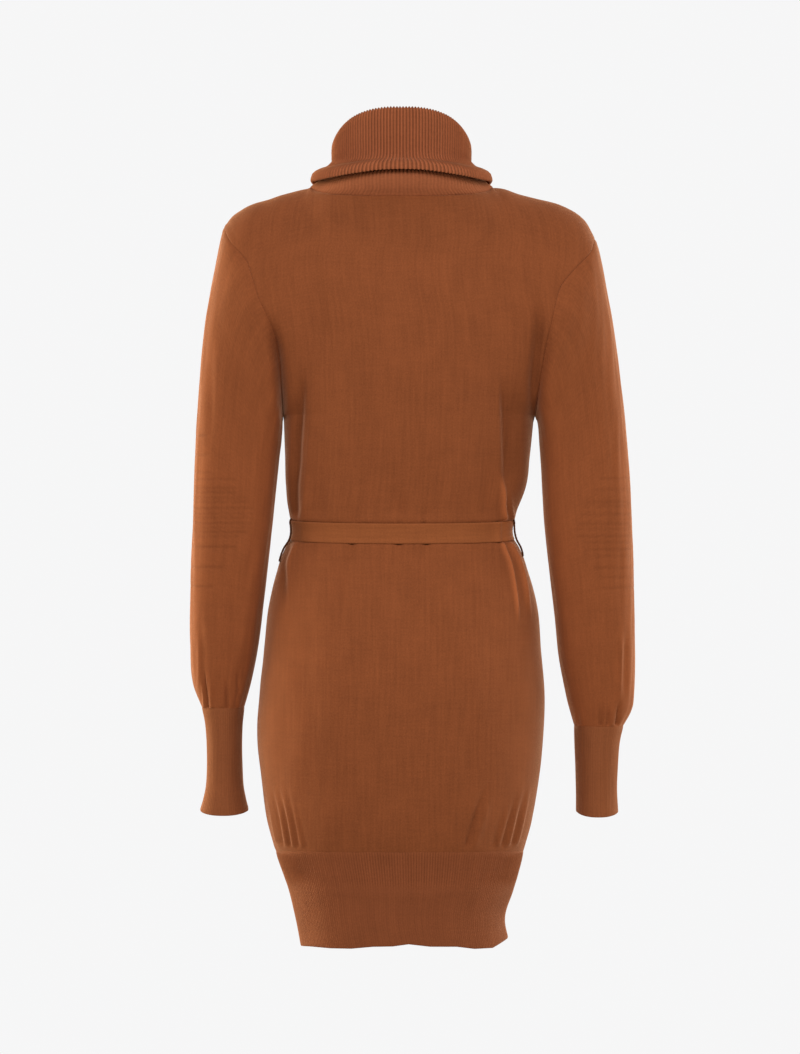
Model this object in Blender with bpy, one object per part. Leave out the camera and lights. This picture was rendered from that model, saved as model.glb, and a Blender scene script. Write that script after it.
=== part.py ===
"""Knitted sweater dress, held in its worn, hollow form by the wearer's shoulders.

Millimetres below, metres in the meshes. +Z up, the front faces -Y, the wearer's left is +X.
The origin is in the neck opening at the height of the neck seam, where the wearer holds the dress up.
Each piece is a thin closed wall: an outer sheet of points, and an inner one a wall's thickness inside.
"""
import math

import bmesh
import bpy
import numpy as np

MM = 0.001
WALL = 2.0  # jersey
RIB_WALL = 2.2  # collar, cuffs and hem band
SEAM_GAP = 0.3  # clear space between two pieces at a seam
SASH_WALL = 2.0
SASH_CLEAR = 0.4  # sash to dress

LEFT, RIGHT = 1, -1
BACK, FRONT = 1, -1

# The body below the armholes: half-sections at each height.
# columns: height, left edge, right edge, front depth, back depth
BODY = [
    (-867, 115.6, -122.2, -92, 99),  # hem
    (-837, 121.3, -118.7, -93, 101),
    (-803, 129.4, -128.2, -96, 104),
    (-768, 141.0, -137.7, -101, 109),
    (-757, 144.3, -140.2, -104, 112),  # band seam
    (-720, 155.0, -150.2, -108, 118),
    (-682, 159.3, -157.0, -111, 122),
    (-630, 165.0, -162.8, -112, 126),
    (-580, 163.2, -164.7, -114, 127),
    (-527, 158.0, -160.5, -114, 122),
    (-475, 152.4, -155.9, -111, 110),
    (-440, 144.3, -146.7, -106, 99),
    (-410, 133.5, -134.7, -99, 89),
    (-399, 125.6, -127.0, -96, 86),  # sash, lower edge
    (-378, 125.2, -127.0, -96, 86),  # sash, upper edge
    (-366, 129.5, -132.2, -100, 88),
    (-337, 132.8, -142.7, -111, 93),
    (-302, 134.0, -147.8, -121, 99),
    (-268, 135.1, -151.3, -125, 103),
    (-232, 135.4, -154.2, -122, 106),
    (-180, 135.4, -156.2, -116, 107),
]
SKIRT_ROWS = (-757, -722, -675, -620, -560, -500, -445, -412, -399, -378, -366, -336, -302, -276, -265)
BAND_ROWS = (-867, -840, -800, -757)
BODY_ROUND = 2.15  # 2 is an ellipse, higher is squarer
SASH_ROWS = (-399, -378)  # the sash's lower and upper edge
SASH_MIDDLE = sum(SASH_ROWS) / 2
SASH_DIP = 5.0  # the sash and waist hang lower at the centre back
DIP_REACH = 26.0
# Rows near the hem are higher at the centre back. columns: height, rise
BACK_RISE = [(-867, 10.5), (-757, 8.0), (-700, 3.0), (-640, 0.0)]

COLUMNS = 20  # across each panel
NECK_COLUMNS = 14  # of them at the neckline
UNDERARM_FLARE = 1.5  # how far the side turns out to meet the sleeve in the underarm
FLARE_SHARPNESS = 14
ROW_RISE = 1.5  # how late the rows take the shape of the shoulders
NECK_PULL = 6  # how late the centre line turns to the neck seam
CAP_ROWS = 8  # from the armhole's lowest point to the shoulder

# Armholes. columns: lowest height, highest height
ARMHOLE = {LEFT: (-258.0, -42.0), RIGHT: (-258.0, -55.0)}
ARMHOLE_DEPTH = {BACK: 76.0, FRONT: -78.0}
SHOULDER_LEAN = 1.6  # how far the armhole's edge faces sideways at the shoulder
RIDGE_Y = 5.0  # the shoulder seams' place, front to back

# How far from the middle the armhole seam runs, from the underarm to the shoulder
# columns: height, left back, right back, left front, right front
ARMHOLE_LINE = [
    (-258, 136.0, 153.5, 136.0, 153.5),
    (-230, 136.8, 156.0, 136.5, 155.0),
    (-197, 138.5, 160.4, 137.5, 157.5),
    (-172, 142.5, 164.5, 140.0, 161.0),
    (-150, 150.5, 169.0, 146.0, 165.5),
    (-126, 162.0, 174.0, 156.0, 171.0),
    (-103, 169.0, 181.0, 164.0, 178.0),
    (-82, 177.0, 197.0, 173.0, 192.0),
    (-62, 194.0, 214.5, 190.0, 210.0),
    (-42, 204.0, 222.0, 204.0, 222.0),
]
LINE_COLUMN = {(LEFT, BACK): 1, (RIGHT, BACK): 2, (LEFT, FRONT): 3, (RIGHT, FRONT): 4}

# Shoulder seams. columns: distance from the middle, left height, right height
RIDGE = [
    (105, 4.2, 5.2),
    (114, 2.3, 3.8),
    (133, -3.4, -3.0),
    (151, -9.0, -7.6),
    (170, -14.6, -11.8),
    (184, -21.0, -16.0),
    (196, -30.0, -22.0),
    (204, -42.0, -28.0),
    (214, -56.0, -39.0),
    (222, -70.0, -55.0),
]

# Neckline. columns: degrees from the centre back, height
NECKLINE = [
    (0, -11),
    (30, -10),
    (50, -7.5),
    (70, -2),
    (90, 4.6),
    (110, -8),
    (130, -30),
    (150, -49),
    (168, -58),
    (180, -59.5),
]
NECK_HALF_WIDTH = 105.0
NECK_DEPTH = {BACK: 73.0, FRONT: -85.0}
# How far out and up the cloth's edge faces along the neck seam
NECK_EDGE_AT_SIDES, NECK_EDGE_AT_MIDDLE = (0.5, 0.87), (0.9, 0.44)

# Down the middle of the back and front above the armholes. columns: height, front, back
MIDDLE = [
    (-268, -125, 103),
    (-232, -122, 106),
    (-180, -116, 107),
    (-130, -106, 103),
    (-80, -92, 94),
    (-40, -76, 85),
    (-11, -70, 78),
]

# Sleeves, from the armhole to the cuff seam. Each section lies between an outer and an inner point.
# columns: outer x, outer z, inner x, inner z, half depth, middle y
SLEEVE = {
    LEFT: [
        (206.6, -52, 136.4, -261.0, 74.5, 2),
        (209.8, -68, 136.6, -265.5, 71.5, 2),
        (214.2, -90, 136.8, -272.0, 67.5, 1),
        (219.8, -117, 137.4, -280.0, 63.0, 0),
        (225.5, -150, 138.2, -290.0, 58.5, 0),
        (230.0, -190, 140.0, -303.0, 55.0, -1),
        (233.0, -230, 142.0, -321.0, 52.5, -2),
        (236.0, -275, 144.8, -347.0, 50.5, -3),
        (238.5, -330, 148.2, -381.0, 49.0, -4),
        (240.5, -390, 153.0, -423.0, 47.5, -6),
        (243.0, -455, 158.5, -472.0, 46.0, -9),
        (243.3, -520, 165.0, -522.0, 44.5, -13),
        (241.0, -562, 173.0, -562.0, 42.0, -17),
        (230.5, -593, 181.5, -593.0, 36.5, -20),
    ],
    RIGHT: [
        (-225.4, -64, -155.0, -261.0, 74.5, 2),
        (-228.6, -77, -156.4, -265.0, 71.5, 2),
        (-232.4, -95, -157.4, -272.0, 67.5, 1),
        (-236.8, -119, -158.0, -280.0, 63.0, 0),
        (-242.5, -150, -158.6, -290.0, 58.5, 0),
        (-248.5, -192, -159.6, -303.0, 55.0, -1),
        (-254.0, -235, -160.8, -322.0, 52.5, -2),
        (-258.5, -280, -162.1, -349.0, 50.5, -3),
        (-263.0, -335, -164.5, -383.0, 49.0, -4),
        (-265.8, -400, -169.5, -430.0, 47.5, -6),
        (-268.0, -470, -176.0, -484.0, 46.0, -9),
        (-269.1, -535, -181.5, -536.0, 44.5, -13),
        (-268.6, -580, -190.2, -580.0, 42.0, -18),
        (-256.5, -614, -199.5, -614.0, 36.5, -21),
    ],
}
SLEEVE_ROUND = 2.4
CAP_BLEND = 4  # sections over which the armhole's own line fades out
CAP_EASE = 1.5  # how soon it fades

# columns: outer x, inner x, height, half depth, middle y
CUFF = {
    LEFT: [
        (230.5, 181.5, -593, 36.5, -20),
        (226.5, 183.6, -615, 34.5, -22),
        (225.0, 184.6, -645, 34.0, -25),
        (225.8, 183.4, -680, 34.5, -28),
        (228.8, 180.4, -698, 35.6, -29),
        (233.2, 177.0, -713, 37.0, -30),
    ],
    RIGHT: [
        (-256.6, -199.6, -614, 36.5, -21),
        (-252.4, -200.2, -634, 34.5, -23),
        (-250.6, -201.6, -660, 34.0, -26),
        (-249.6, -202.3, -690, 34.5, -29),
        (-250.6, -202.3, -715, 36.0, -31),
    ],
}
CUFF_SLANT = 4.0  # a cuff's edge is lower at the back, higher at the front

# The collar, from the neck seam up the inner wall, over the fold and down to the free edge.
NECK_TUBE = (76.8, 64.0)  # half width and half depth of the folded collar
# columns: share of the way up from seam to fold, then size against the neck's own at the back, the sides
# and the front
COLLAR_RISE = [
    (0.07, 1.220, 1.310, 1.290),
    (0.15, 1.262, 1.240, 1.230),
    (0.24, 1.255, 1.130, 1.130),
    (0.31, 1.165, 1.035, 1.030),
    (0.38, 1.030, 0.955, 0.955),
    (0.45, 0.945, 0.925, 0.925),
    (0.86, 0.922, 0.922, 0.922),
]
COLLAR_FOLD = [(0.940, 0.0), (0.968, 2.6), (0.996, 0.0)]  # size, millimetres above the fold line
COLLAR_FALL = [(1.005, 0.10), (1.005, 0.35)]  # size, share of the way down from fold to free edge
# columns: size, millimetres above the edge
FREE_EDGE = [(1.03, 15.0), (1.09, 11.5), (1.19, 9.3), (1.30, 5.2), (1.325, -1.0)]
# columns: degrees from the centre back, fold's height, free edge's height
COLLAR_LINES = [
    (0, 85.6, 18.0),
    (12, 85.3, 17.6),
    (30, 82.2, 14.8),
    (45, 76.6, 12.5),
    (60, 68, 10.8),
    (75, 58.5, 10.6),
    (90, 51, 11.8),
    (120, 44, 1.5),
    (150, 40, -16.0),
    (168, 39.1, -22.6),
    (180, 39, -23.4),
]
FREE_EDGE_FRONT_LEAN = 8.0
FLARE_AT_SIDES = 0.25  # how much higher the flare starts at the sides than at the back

LOOP_THICK = 2.4
LOOP_WIDE = 3.2
LOOP_COLUMN = 1  # the panel column, in from the side seam, that the thread loops stand on
# Thread loops behind the side seams. columns: height, clear of the dress
LOOP_PATH = {
    LEFT: [
        (-373.5, 0.4), (-377.2, 2.8), (-383, 3.1), (-391, 3.2),
        (-399, 3.0), (-406, 2.4), (-414, 1.4), (-424, 0.4),
    ],
    RIGHT: [
        (-373.5, 0.4), (-377.2, 2.9), (-383, 4.2), (-390, 4.9),
        (-397, 4.7), (-403, 3.8), (-410, 2.2), (-418, 0.4),
    ],
}

# The sash's knot: width, depth and height
KNOT_SIZE = (30.0, 16.0, 26.0)
KNOT_BULGE = 0.25  # how much smaller its two ends are
KNOT_ROUND = 3.0
KNOT_AROUND = 12
KNOT_RINGS = (-1, -0.6, 0, 0.6, 1)  # share of half its height
# The sash's free ends. columns: sideways, height
TAIL_WIDTH = 21.0
TAIL_PATH = {
    LEFT: [(6, -402), (14, -440), (21, -500), (25, -560), (27, -605)],
    RIGHT: [(-6, -402), (-12, -440), (-17, -500), (-20, -555), (-21, -585)],
}
TAIL_CLEAR = 3.0  # tail to skirt
TAIL_BEHIND_KNOT = 2.4  # the left end lies this far in front of the band
TAIL_STEP = 2.6  # the right end lies in front of the left one

KNIT = (0.247, 0.078, 0.026)
RIB = (0.235, 0.073, 0.024)
SASH = (0.240, 0.075, 0.025)


def smooth(table, at, column):
    """Value of a table's column at a key, by a cubic through the rows; keys rise."""
    keys = np.array([row[0] for row in table], float)
    values = np.array([row[column] for row in table], float)
    slopes = np.gradient(values, keys)
    at = float(np.clip(at, keys[0], keys[-1]))
    i = int(np.clip(np.searchsorted(keys, at, side="right") - 1, 0, len(keys) - 2))
    span = keys[i + 1] - keys[i]
    t = (at - keys[i]) / span
    rise = t * t * (3 - 2 * t)
    start = t * (1 - t) * (1 - t)
    end = t * t * (t - 1)
    return values[i] * (1 - rise) + values[i + 1] * rise + span * (slopes[i] * start + slopes[i + 1] * end)


def unit(vector):
    return vector / np.linalg.norm(vector, axis=-1, keepdims=True)


def rounded(angle, power):
    """Sine and cosine of a squared circle."""
    s, c = math.sin(angle), math.cos(angle)
    return math.copysign(abs(s) ** (2 / power), s), math.copysign(abs(c) ** (2 / power), c)


# Place of each column across a panel, -1 at its right edge and 1 at its left
SHARES = [2 * j / COLUMNS - 1 for j in range(COLUMNS + 1)]
NECK_SHARE = NECK_COLUMNS / COLUMNS


def waist_dip(height, deep, side):
    near = math.exp(-(((height - SASH_MIDDLE) / DIP_REACH) ** 2))
    return -SASH_DIP * near * deep if side == BACK else 0.0


def hem_rise(height, deep, side):
    return smooth(BACK_RISE, height, 1) * deep if side == BACK else 0.0


def lower_point(height, share, side):
    """A point of the body below the armholes."""
    left, right = smooth(BODY, height, 1), smooth(BODY, height, 2)
    depth = smooth(BODY, height, 4 if side == BACK else 3)
    across, deep = rounded(share * math.pi / 2, BODY_ROUND)
    x = (left + right) / 2 + (left - right) / 2 * across
    z = height + waist_dip(height, deep, side) + hem_rise(height, deep, side)
    return x, depth * deep, z


def armhole_point(hand, side, turn):
    """A point of the armhole seam; turn is 180 degrees at the underarm and 0 at the shoulder."""
    low, high = ARMHOLE[hand]
    z = (low + high) / 2 + (high - low) / 2 * math.cos(turn)
    key = float(np.interp(z, (low, high), (ARMHOLE_LINE[0][0], ARMHOLE_LINE[-1][0])))
    y = RIDGE_Y * (1 + math.cos(turn)) / 2 + ARMHOLE_DEPTH[side] * math.sin(turn)
    return hand * smooth(ARMHOLE_LINE, key, LINE_COLUMN[hand, side]), y, z


def neck_point(angle):
    """A point of the neck seam; angle is 0 at the centre back, positive to the wearer's left."""
    depth = NECK_DEPTH[BACK] if math.cos(angle) > -1e-9 else -NECK_DEPTH[FRONT]
    z = smooth(NECKLINE, abs(math.degrees(math.remainder(angle, 2 * math.pi))), 1)
    return NECK_HALF_WIDTH * math.sin(angle), RIDGE_Y + depth * math.cos(angle), z


def top_point(share, side):
    """A point of a panel's top edge: shoulder seam, neckline, shoulder seam."""
    if abs(share) < NECK_SHARE + 1e-9:
        angle = share / NECK_SHARE * math.pi / 2
        return neck_point(angle if side == BACK else math.pi - angle)
    hand = LEFT if share > 0 else RIGHT
    along = (abs(share) - NECK_SHARE) / (1 - NECK_SHARE)
    end = ARMHOLE_LINE[-1][LINE_COLUMN[hand, side]]
    distance = NECK_HALF_WIDTH + (end - NECK_HALF_WIDTH) * along
    return hand * distance, RIDGE_Y, smooth(RIDGE, distance, 1 if hand == LEFT else 2)


def upper_point(turn, share, side):
    """A point of the body between the armholes."""
    ends = {hand: armhole_point(hand, side, turn) for hand in (LEFT, RIGHT)}
    tops = {hand: top_point(hand, side) for hand in (LEFT, RIGHT)}
    up = (1 + math.cos(turn)) / 2
    top = top_point(share, side)
    top_middle = (tops[LEFT][0] + tops[RIGHT][0]) / 2
    top_half = (tops[LEFT][0] - tops[RIGHT][0]) / 2
    pinch = UNDERARM_FLARE * (1 - up) ** 4 * (1 - abs(share) ** FLARE_SHARPNESS)
    middle = (ends[LEFT][0] + ends[RIGHT][0]) / 2
    half = (ends[LEFT][0] - ends[RIGHT][0]) / 2 - pinch
    toward = (share + 1) / 2
    end_z = ends[RIGHT][2] * (1 - toward) + ends[LEFT][2] * toward
    top_z = tops[RIGHT][2] * (1 - toward) + tops[LEFT][2] * toward
    z = end_z + up ** ROW_RISE * (top[2] - top_z)
    neck = top_point(0, side)
    neck_above = neck[2] - (tops[LEFT][2] + tops[RIGHT][2]) / 2
    centre_z = (ends[LEFT][2] + ends[RIGHT][2]) / 2 + up ** ROW_RISE * neck_above
    column = 2 if side == BACK else 1
    pull = up ** NECK_PULL * (neck[1] - smooth(MIDDLE, neck[2], column))
    centre_y = smooth(MIDDLE, centre_z, column) + pull
    end_y = (ends[LEFT][1] + ends[RIGHT][1]) / 2
    # the lower sections' own line, as far round as the armhole
    reach = math.acos(float(np.clip(end_y / centre_y, 0, 1)) ** (BODY_ROUND / 2))
    sine, cosine = rounded(share * reach, BODY_ROUND)
    across = (1 - up) * sine / rounded(reach, BODY_ROUND)[0] + up * (top[0] - top_middle) / top_half
    top_deep = (top[1] - RIDGE_Y) / (neck[1] - RIDGE_Y)
    y = (1 - up) * centre_y * cosine + up * (end_y + (centre_y - end_y) * top_deep)
    return middle + half * across, y, z


def body_grid(side):
    """Rows from the hem to the shoulders, columns from the wearer's right to left."""
    heights = list(BAND_ROWS[:-1]) + list(SKIRT_ROWS)
    rows = [[lower_point(height, share, side) for share in SHARES] for height in heights]
    for i in range(CAP_ROWS + 1):
        turn = math.pi * (1 - i / CAP_ROWS)
        rows.append([upper_point(turn, share, side) for share in SHARES])
    return np.array(rows, float)


BAND_COUNT = len(BAND_ROWS) - 1
UNDERARM_ROW = BAND_COUNT + len(SKIRT_ROWS)


def armhole_normal(hand, side, turn):
    """Outward across the seam's edge: up at the shoulder, down in the underarm."""
    low, high = ARMHOLE[hand]
    normal = np.array([
        hand * SHOULDER_LEAN * ((1 + math.cos(turn)) / 2) ** 2,
        math.sin(turn) / ARMHOLE_DEPTH[side],
        math.cos(turn) / ((high - low) / 2),
    ])
    flat = math.hypot(normal[1], normal[2])
    normal[1:] /= flat
    return unit(normal)


def neck_normal(angle):
    """Across the neck seam's edge: mostly up at the sides, mostly out at the back and front."""
    swing = abs(math.cos(angle))
    outward = NECK_EDGE_AT_SIDES[0] + swing * (NECK_EDGE_AT_MIDDLE[0] - NECK_EDGE_AT_SIDES[0])
    upward = NECK_EDGE_AT_SIDES[1] + swing * (NECK_EDGE_AT_MIDDLE[1] - NECK_EDGE_AT_SIDES[1])
    return unit(np.array([outward * math.sin(angle), outward * math.cos(angle), upward]))


def sheet_normals(grid, before, after, below, above):
    """Normals of a grid of points, with the rows and columns that lie beyond its edges."""
    wide = np.concatenate([before[:, None], grid, after[:, None]], 1)
    tall = np.concatenate([below[None], grid, above[None]], 0)
    across = wide[:, 2:] - wide[:, :-2]
    up = tall[2:] - tall[:-2]
    return unit(np.cross(across, up))


def panel_normals(grid, other, side):
    """Outward normals, the same on both panels along the seams that they share."""
    before, after = 2 * grid[:, 0] - grid[:, 1], 2 * grid[:, -1] - grid[:, -2]
    joined = slice(0, UNDERARM_ROW)
    before[joined], after[joined] = other[joined, 1], other[joined, -2]
    above = 2 * grid[-1] - grid[-2]
    shoulders = [j for j, share in enumerate(SHARES) if abs(share) >= NECK_SHARE - 1e-9]
    above[shoulders] = other[-2, shoulders]
    normals = sheet_normals(grid, before, after, 2 * grid[0] - grid[1], above) * -side
    normals[joined, 0, 1] = 0
    normals[joined, -1, 1] = 0
    normals[-1, shoulders, 1] = 0
    normals[[0, BAND_COUNT], :, 2] = 0
    normals = unit(normals)
    for i in range(CAP_ROWS + 1):
        turn = math.pi * (1 - i / CAP_ROWS)
        normals[UNDERARM_ROW + i, 0] = armhole_normal(RIGHT, side, turn)
        normals[UNDERARM_ROW + i, -1] = armhole_normal(LEFT, side, turn)
    for j, share in enumerate(SHARES):
        if abs(share) < NECK_SHARE - 1e-9:
            angle = share / NECK_SHARE * math.pi / 2
            normals[-1, j] = neck_normal(angle if side == BACK else math.pi - angle)
    return normals


def ring_shift(points, normals, toward):
    """Half a seam gap, square to a closed seam line and its edge, to the side that holds a point."""
    along = np.roll(points, -1, 0) - np.roll(points, 1, 0)
    square = unit(np.cross(along, normals))
    if np.sum(square * (toward - points)) < 0:
        square = -square
    return square * SEAM_GAP / 2


# Points inside the body, which tell a seam's body side from its other side
CHEST, WAIST = np.array([0, 0, -150.0]), np.array([0, 0, -400.0])


def armhole_ring(hand):
    """The armhole seam as a closed line from the shoulder down the back and up the front."""
    points, normals = [], []
    for side in (BACK, FRONT):
        for i in range(CAP_ROWS):
            turn = math.pi * i / CAP_ROWS if side == BACK else math.pi * (1 - i / CAP_ROWS)
            points.append(armhole_point(hand, side, turn))
            normals.append(armhole_normal(hand, side, turn))
    return np.array(points), np.array(normals)


def neck_ring():
    """The neck seam as a closed line from the centre back round by the wearer's left."""
    count = 2 * NECK_COLUMNS
    angles = [math.remainder(2 * math.pi * k / count, 2 * math.pi) for k in range(count)]
    return np.array([neck_point(a) for a in angles]), np.array([neck_normal(a) for a in angles]), angles


def add_body(name, outer, inner, closed, material):
    """A closed wall between two grids of points; closed ones join their last column to the first."""
    rows, cols = outer.shape[:2]
    count = rows * cols
    corner = lambda i, j, deep: deep * count + i * cols + j % cols
    spans = cols if closed else cols - 1
    faces = []
    for i in range(rows - 1):
        for j in range(spans):
            quad = [(i, j), (i, j + 1), (i + 1, j + 1), (i + 1, j)]
            faces.append([corner(a, b, 0) for a, b in quad])
            faces.append([corner(a, b, 1) for a, b in reversed(quad)])
    for j in range(spans):
        for i in (0, rows - 1):
            rim = [corner(i, j, 0), corner(i, j, 1), corner(i, j + 1, 1), corner(i, j + 1, 0)]
            faces.append(rim if i == 0 else rim[::-1])
    if not closed:
        for i in range(rows - 1):
            for j in (0, cols - 1):
                rim = [corner(i, j, 0), corner(i + 1, j, 0), corner(i + 1, j, 1), corner(i, j, 1)]
                faces.append(rim if j == 0 else rim[::-1])
    points = np.concatenate([outer.reshape(-1, 3), inner.reshape(-1, 3)]) * MM
    make_object(name, points, faces, material)


def make_object(name, points, faces, material):
    mesh = bpy.data.meshes.new(name)
    mesh.from_pydata([tuple(p) for p in points], [], faces)
    work = bmesh.new()
    work.from_mesh(mesh)
    bmesh.ops.recalc_face_normals(work, faces=work.faces)
    if work.calc_volume(signed=True) < 0:
        bmesh.ops.reverse_faces(work, faces=work.faces)
    work.to_mesh(mesh)
    work.free()
    mesh.materials.append(material)
    body = bpy.data.objects.new(name, mesh)
    bpy.context.scene.collection.objects.link(body)


def make_material(name, colour, roughness):
    material = bpy.data.materials.new(name)
    material.use_nodes = True
    shader = material.node_tree.nodes["Principled BSDF"]
    shader.inputs["Base Color"].default_value = (*colour, 1)
    shader.inputs["Roughness"].default_value = roughness
    return material


def add_panels():
    """Front and back, each with its own hem band."""
    grids = {side: body_grid(side) for side in (BACK, FRONT)}
    neck_points, neck_normals, _ = neck_ring()
    neck_shift = ring_shift(neck_points, neck_normals, WAIST)
    outers = {}
    for side, word in ((BACK, "back"), (FRONT, "front")):
        grid = grids[side].copy()
        normals = panel_normals(grid, grids[-side], side)
        shift = np.zeros_like(grid)
        shift[: UNDERARM_ROW + 1, [0, -1], 1] = side * SEAM_GAP / 2
        shoulders = [j for j, share in enumerate(SHARES) if abs(share) >= NECK_SHARE - 1e-9]
        shift[-1, shoulders, 1] = side * SEAM_GAP / 2
        for hand, column in ((LEFT, -1), (RIGHT, 0)):
            points, ring_normals = armhole_ring(hand)
            away = ring_shift(points, ring_normals, CHEST)
            for i in range(CAP_ROWS + 1):
                place = CAP_ROWS - i if side == BACK else (CAP_ROWS + i) % (2 * CAP_ROWS)
                shift[UNDERARM_ROW + i, column] += away[place]
        for j, share in enumerate(SHARES):
            if abs(share) <= NECK_SHARE + 1e-9:
                step = round(share * COLUMNS / 2)
                place = step if side == BACK else NECK_COLUMNS - step
                shift[-1, j] += neck_shift[place % (2 * NECK_COLUMNS)]
        outer = grid + shift
        inner = outer - WALL * normals
        skirt, skirt_inner = outer[BAND_COUNT:].copy(), inner[BAND_COUNT:].copy()
        skirt[0, :, 2] += SEAM_GAP / 2
        skirt_inner[0, :, 2] += SEAM_GAP / 2
        add_body("body_" + word, skirt, skirt_inner, False, MATERIALS["knit"])
        band, band_inner = outer[: BAND_COUNT + 1].copy(), (outer - RIB_WALL * normals)[: BAND_COUNT + 1]
        band[-1, :, 2] -= SEAM_GAP / 2
        band_inner[-1, :, 2] -= SEAM_GAP / 2
        add_body("hem_band_" + word, band, band_inner, False, MATERIALS["rib"])
        outers[side] = grid
    return outers


def tube_normals(rings, first, last):
    """Outward normals of closed rings, the first and last given or found."""
    below, above = 2 * rings[0] - rings[1], 2 * rings[-1] - rings[-2]
    normals = sheet_normals(rings, rings[:, -1], rings[:, 0], below, above)
    centre = rings.mean(1, keepdims=True)
    if np.sum(normals * (rings - centre)) < 0:
        normals = -normals
    if first is not None:
        normals[0] = first
    if last == "level":
        normals[-1, :, 2] = 0
    return unit(normals)


def sleeve_section(outer_x, outer_z, inner_x, inner_z, half_depth, middle_y):
    points = []
    for k in range(2 * CAP_ROWS):
        turn = math.pi * k / CAP_ROWS
        deep, out = rounded(turn, SLEEVE_ROUND)
        x = (outer_x + inner_x) / 2 + (outer_x - inner_x) / 2 * out
        z = (outer_z + inner_z) / 2 + (outer_z - inner_z) / 2 * out
        points.append((x, middle_y + half_depth * deep, z))
    return np.array(points)


def add_sleeve(hand, word):
    ring, ring_normals = armhole_ring(hand)
    top, bottom = ring[0], ring[CAP_ROWS]
    half_depth = (ARMHOLE_DEPTH[BACK] - ARMHOLE_DEPTH[FRONT]) / 2
    plain = sleeve_section(top[0], top[2], bottom[0], bottom[2], half_depth, 0)
    own_line = ring - plain
    rings = [ring - ring_shift(ring, ring_normals, CHEST)]
    for k, row in enumerate(SLEEVE[hand], 1):
        rings.append(sleeve_section(*row) + own_line * max(0.0, 1 - k / CAP_BLEND) ** CAP_EASE)
    rings = np.array(rings)
    normals = tube_normals(rings, ring_normals, "level")
    inner = rings - WALL * normals
    rings[-1, :, 2] += SEAM_GAP / 2
    inner[-1, :, 2] += SEAM_GAP / 2
    add_body("sleeve_" + word, rings, inner, True, MATERIALS["knit"])
    return normals[-1]


def add_cuff(hand, word, seam_normals):
    rings = []
    for k, (outer_x, inner_x, height, half_depth, middle_y) in enumerate(CUFF[hand]):
        ring = sleeve_section(outer_x, height, inner_x, height, half_depth, middle_y)
        if k == len(CUFF[hand]) - 1:
            ring[:, 2] -= CUFF_SLANT * (ring[:, 1] - middle_y) / half_depth
        rings.append(ring)
    rings = np.array(rings)
    normals = tube_normals(rings, seam_normals, "level")
    inner = rings - WALL * normals
    rings[0, :, 2] -= SEAM_GAP / 2
    inner[0, :, 2] -= SEAM_GAP / 2
    add_body("cuff_" + word, rings, inner, True, MATERIALS["rib"])


def collar_profile(angle, seam):
    """Points of the collar's cloth from the neck seam to the free edge, at one angle."""
    degrees = abs(math.degrees(angle))
    fold, edge = smooth(COLLAR_LINES, degrees, 1), smooth(COLLAR_LINES, degrees, 2)
    lean = FREE_EDGE_FRONT_LEAN * max(0.0, -math.cos(angle))
    out = lambda size, z, extra=0.0: (
        NECK_TUBE[0] * size * math.sin(angle),
        (NECK_TUBE[1] * size + extra) * math.cos(angle) + RIDGE_Y,
        z,
    )
    back, front = max(0.0, math.cos(angle)) ** 2, max(0.0, -math.cos(angle)) ** 2
    side = math.sin(angle) ** 2
    points = []
    for share, at_back, at_side, at_front in COLLAR_RISE:
        size = back * at_back + side * at_side + front * at_front
        points.append(out(size, seam[2] + (fold - seam[2]) * share))
    points += [out(size, fold + above) for size, above in COLLAR_FOLD]
    points += [out(size, fold + (edge - fold) * share, lean * share * share) for size, share in COLLAR_FALL]
    taller = 1 + FLARE_AT_SIDES * side
    points += [out(size, edge + above * (taller if above > 0 else 1), lean) for size, above in FREE_EDGE]
    return points


def add_collar():
    """A rib tube that rises from the neck seam, folds outward and falls to a flared free edge."""
    seam, seam_normals, angles = neck_ring()
    shifted = seam - ring_shift(seam, seam_normals, WAIST)
    lines = np.array([[shifted[k]] + collar_profile(angle, seam[k]) for k, angle in enumerate(angles)])
    rings = lines.transpose(1, 0, 2)
    below, above = 2 * rings[0] - rings[1], 2 * rings[-1] - rings[-2]
    normals = sheet_normals(rings, rings[:, -1], rings[:, 0], below, above)
    if np.sum(normals[0] * seam_normals) < 0:
        normals = -normals
    normals[0] = seam_normals
    add_body("collar", rings, rings - RIB_WALL * normals, True, MATERIALS["rib"])


def add_sash(grids):
    """A closed band round the waist, laid on the body's own points."""
    rows = [BAND_COUNT + SKIRT_ROWS.index(height) for height in SASH_ROWS]
    loop = np.concatenate([grids[BACK][rows][:, :-1], grids[FRONT][rows][:, ::-1][:, :-1]], 1)
    outward = sheet_normals(loop, loop[:, -1], loop[:, 0], loop[0] - [0, 0, 1], loop[1] + [0, 0, 1])
    outward[:, :, 2] = 0
    if np.sum(outward * (loop - loop.mean(1, keepdims=True))) < 0:
        outward = -outward
    outward = unit(outward)
    inner = loop + outward * SASH_CLEAR
    add_body("belt", inner + outward * SASH_WALL, inner, True, MATERIALS["sash"])
    return -np.abs(grids[FRONT][rows[0], COLUMNS // 2, 1])


def add_knot(front):
    """The sash's knot, a rounded pad in front of the band."""
    gap = SASH_CLEAR + SASH_WALL + SEAM_GAP
    half = [size / 2 for size in KNOT_SIZE]
    rows = []
    for lift in KNOT_RINGS:
        swell = 1 - KNOT_BULGE * lift * lift
        ring = []
        for k in range(KNOT_AROUND):
            out, across = rounded(2 * math.pi * k / KNOT_AROUND, KNOT_ROUND)
            ring.append((half[0] * swell * across, -half[1] * swell * out, SASH_MIDDLE + half[2] * lift))
        rows.append(ring)
    rows = np.array(rows)
    rows[:, :, 1] += front - gap - half[1]
    solid(rows, "belt_knot", MATERIALS["sash"])


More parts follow.
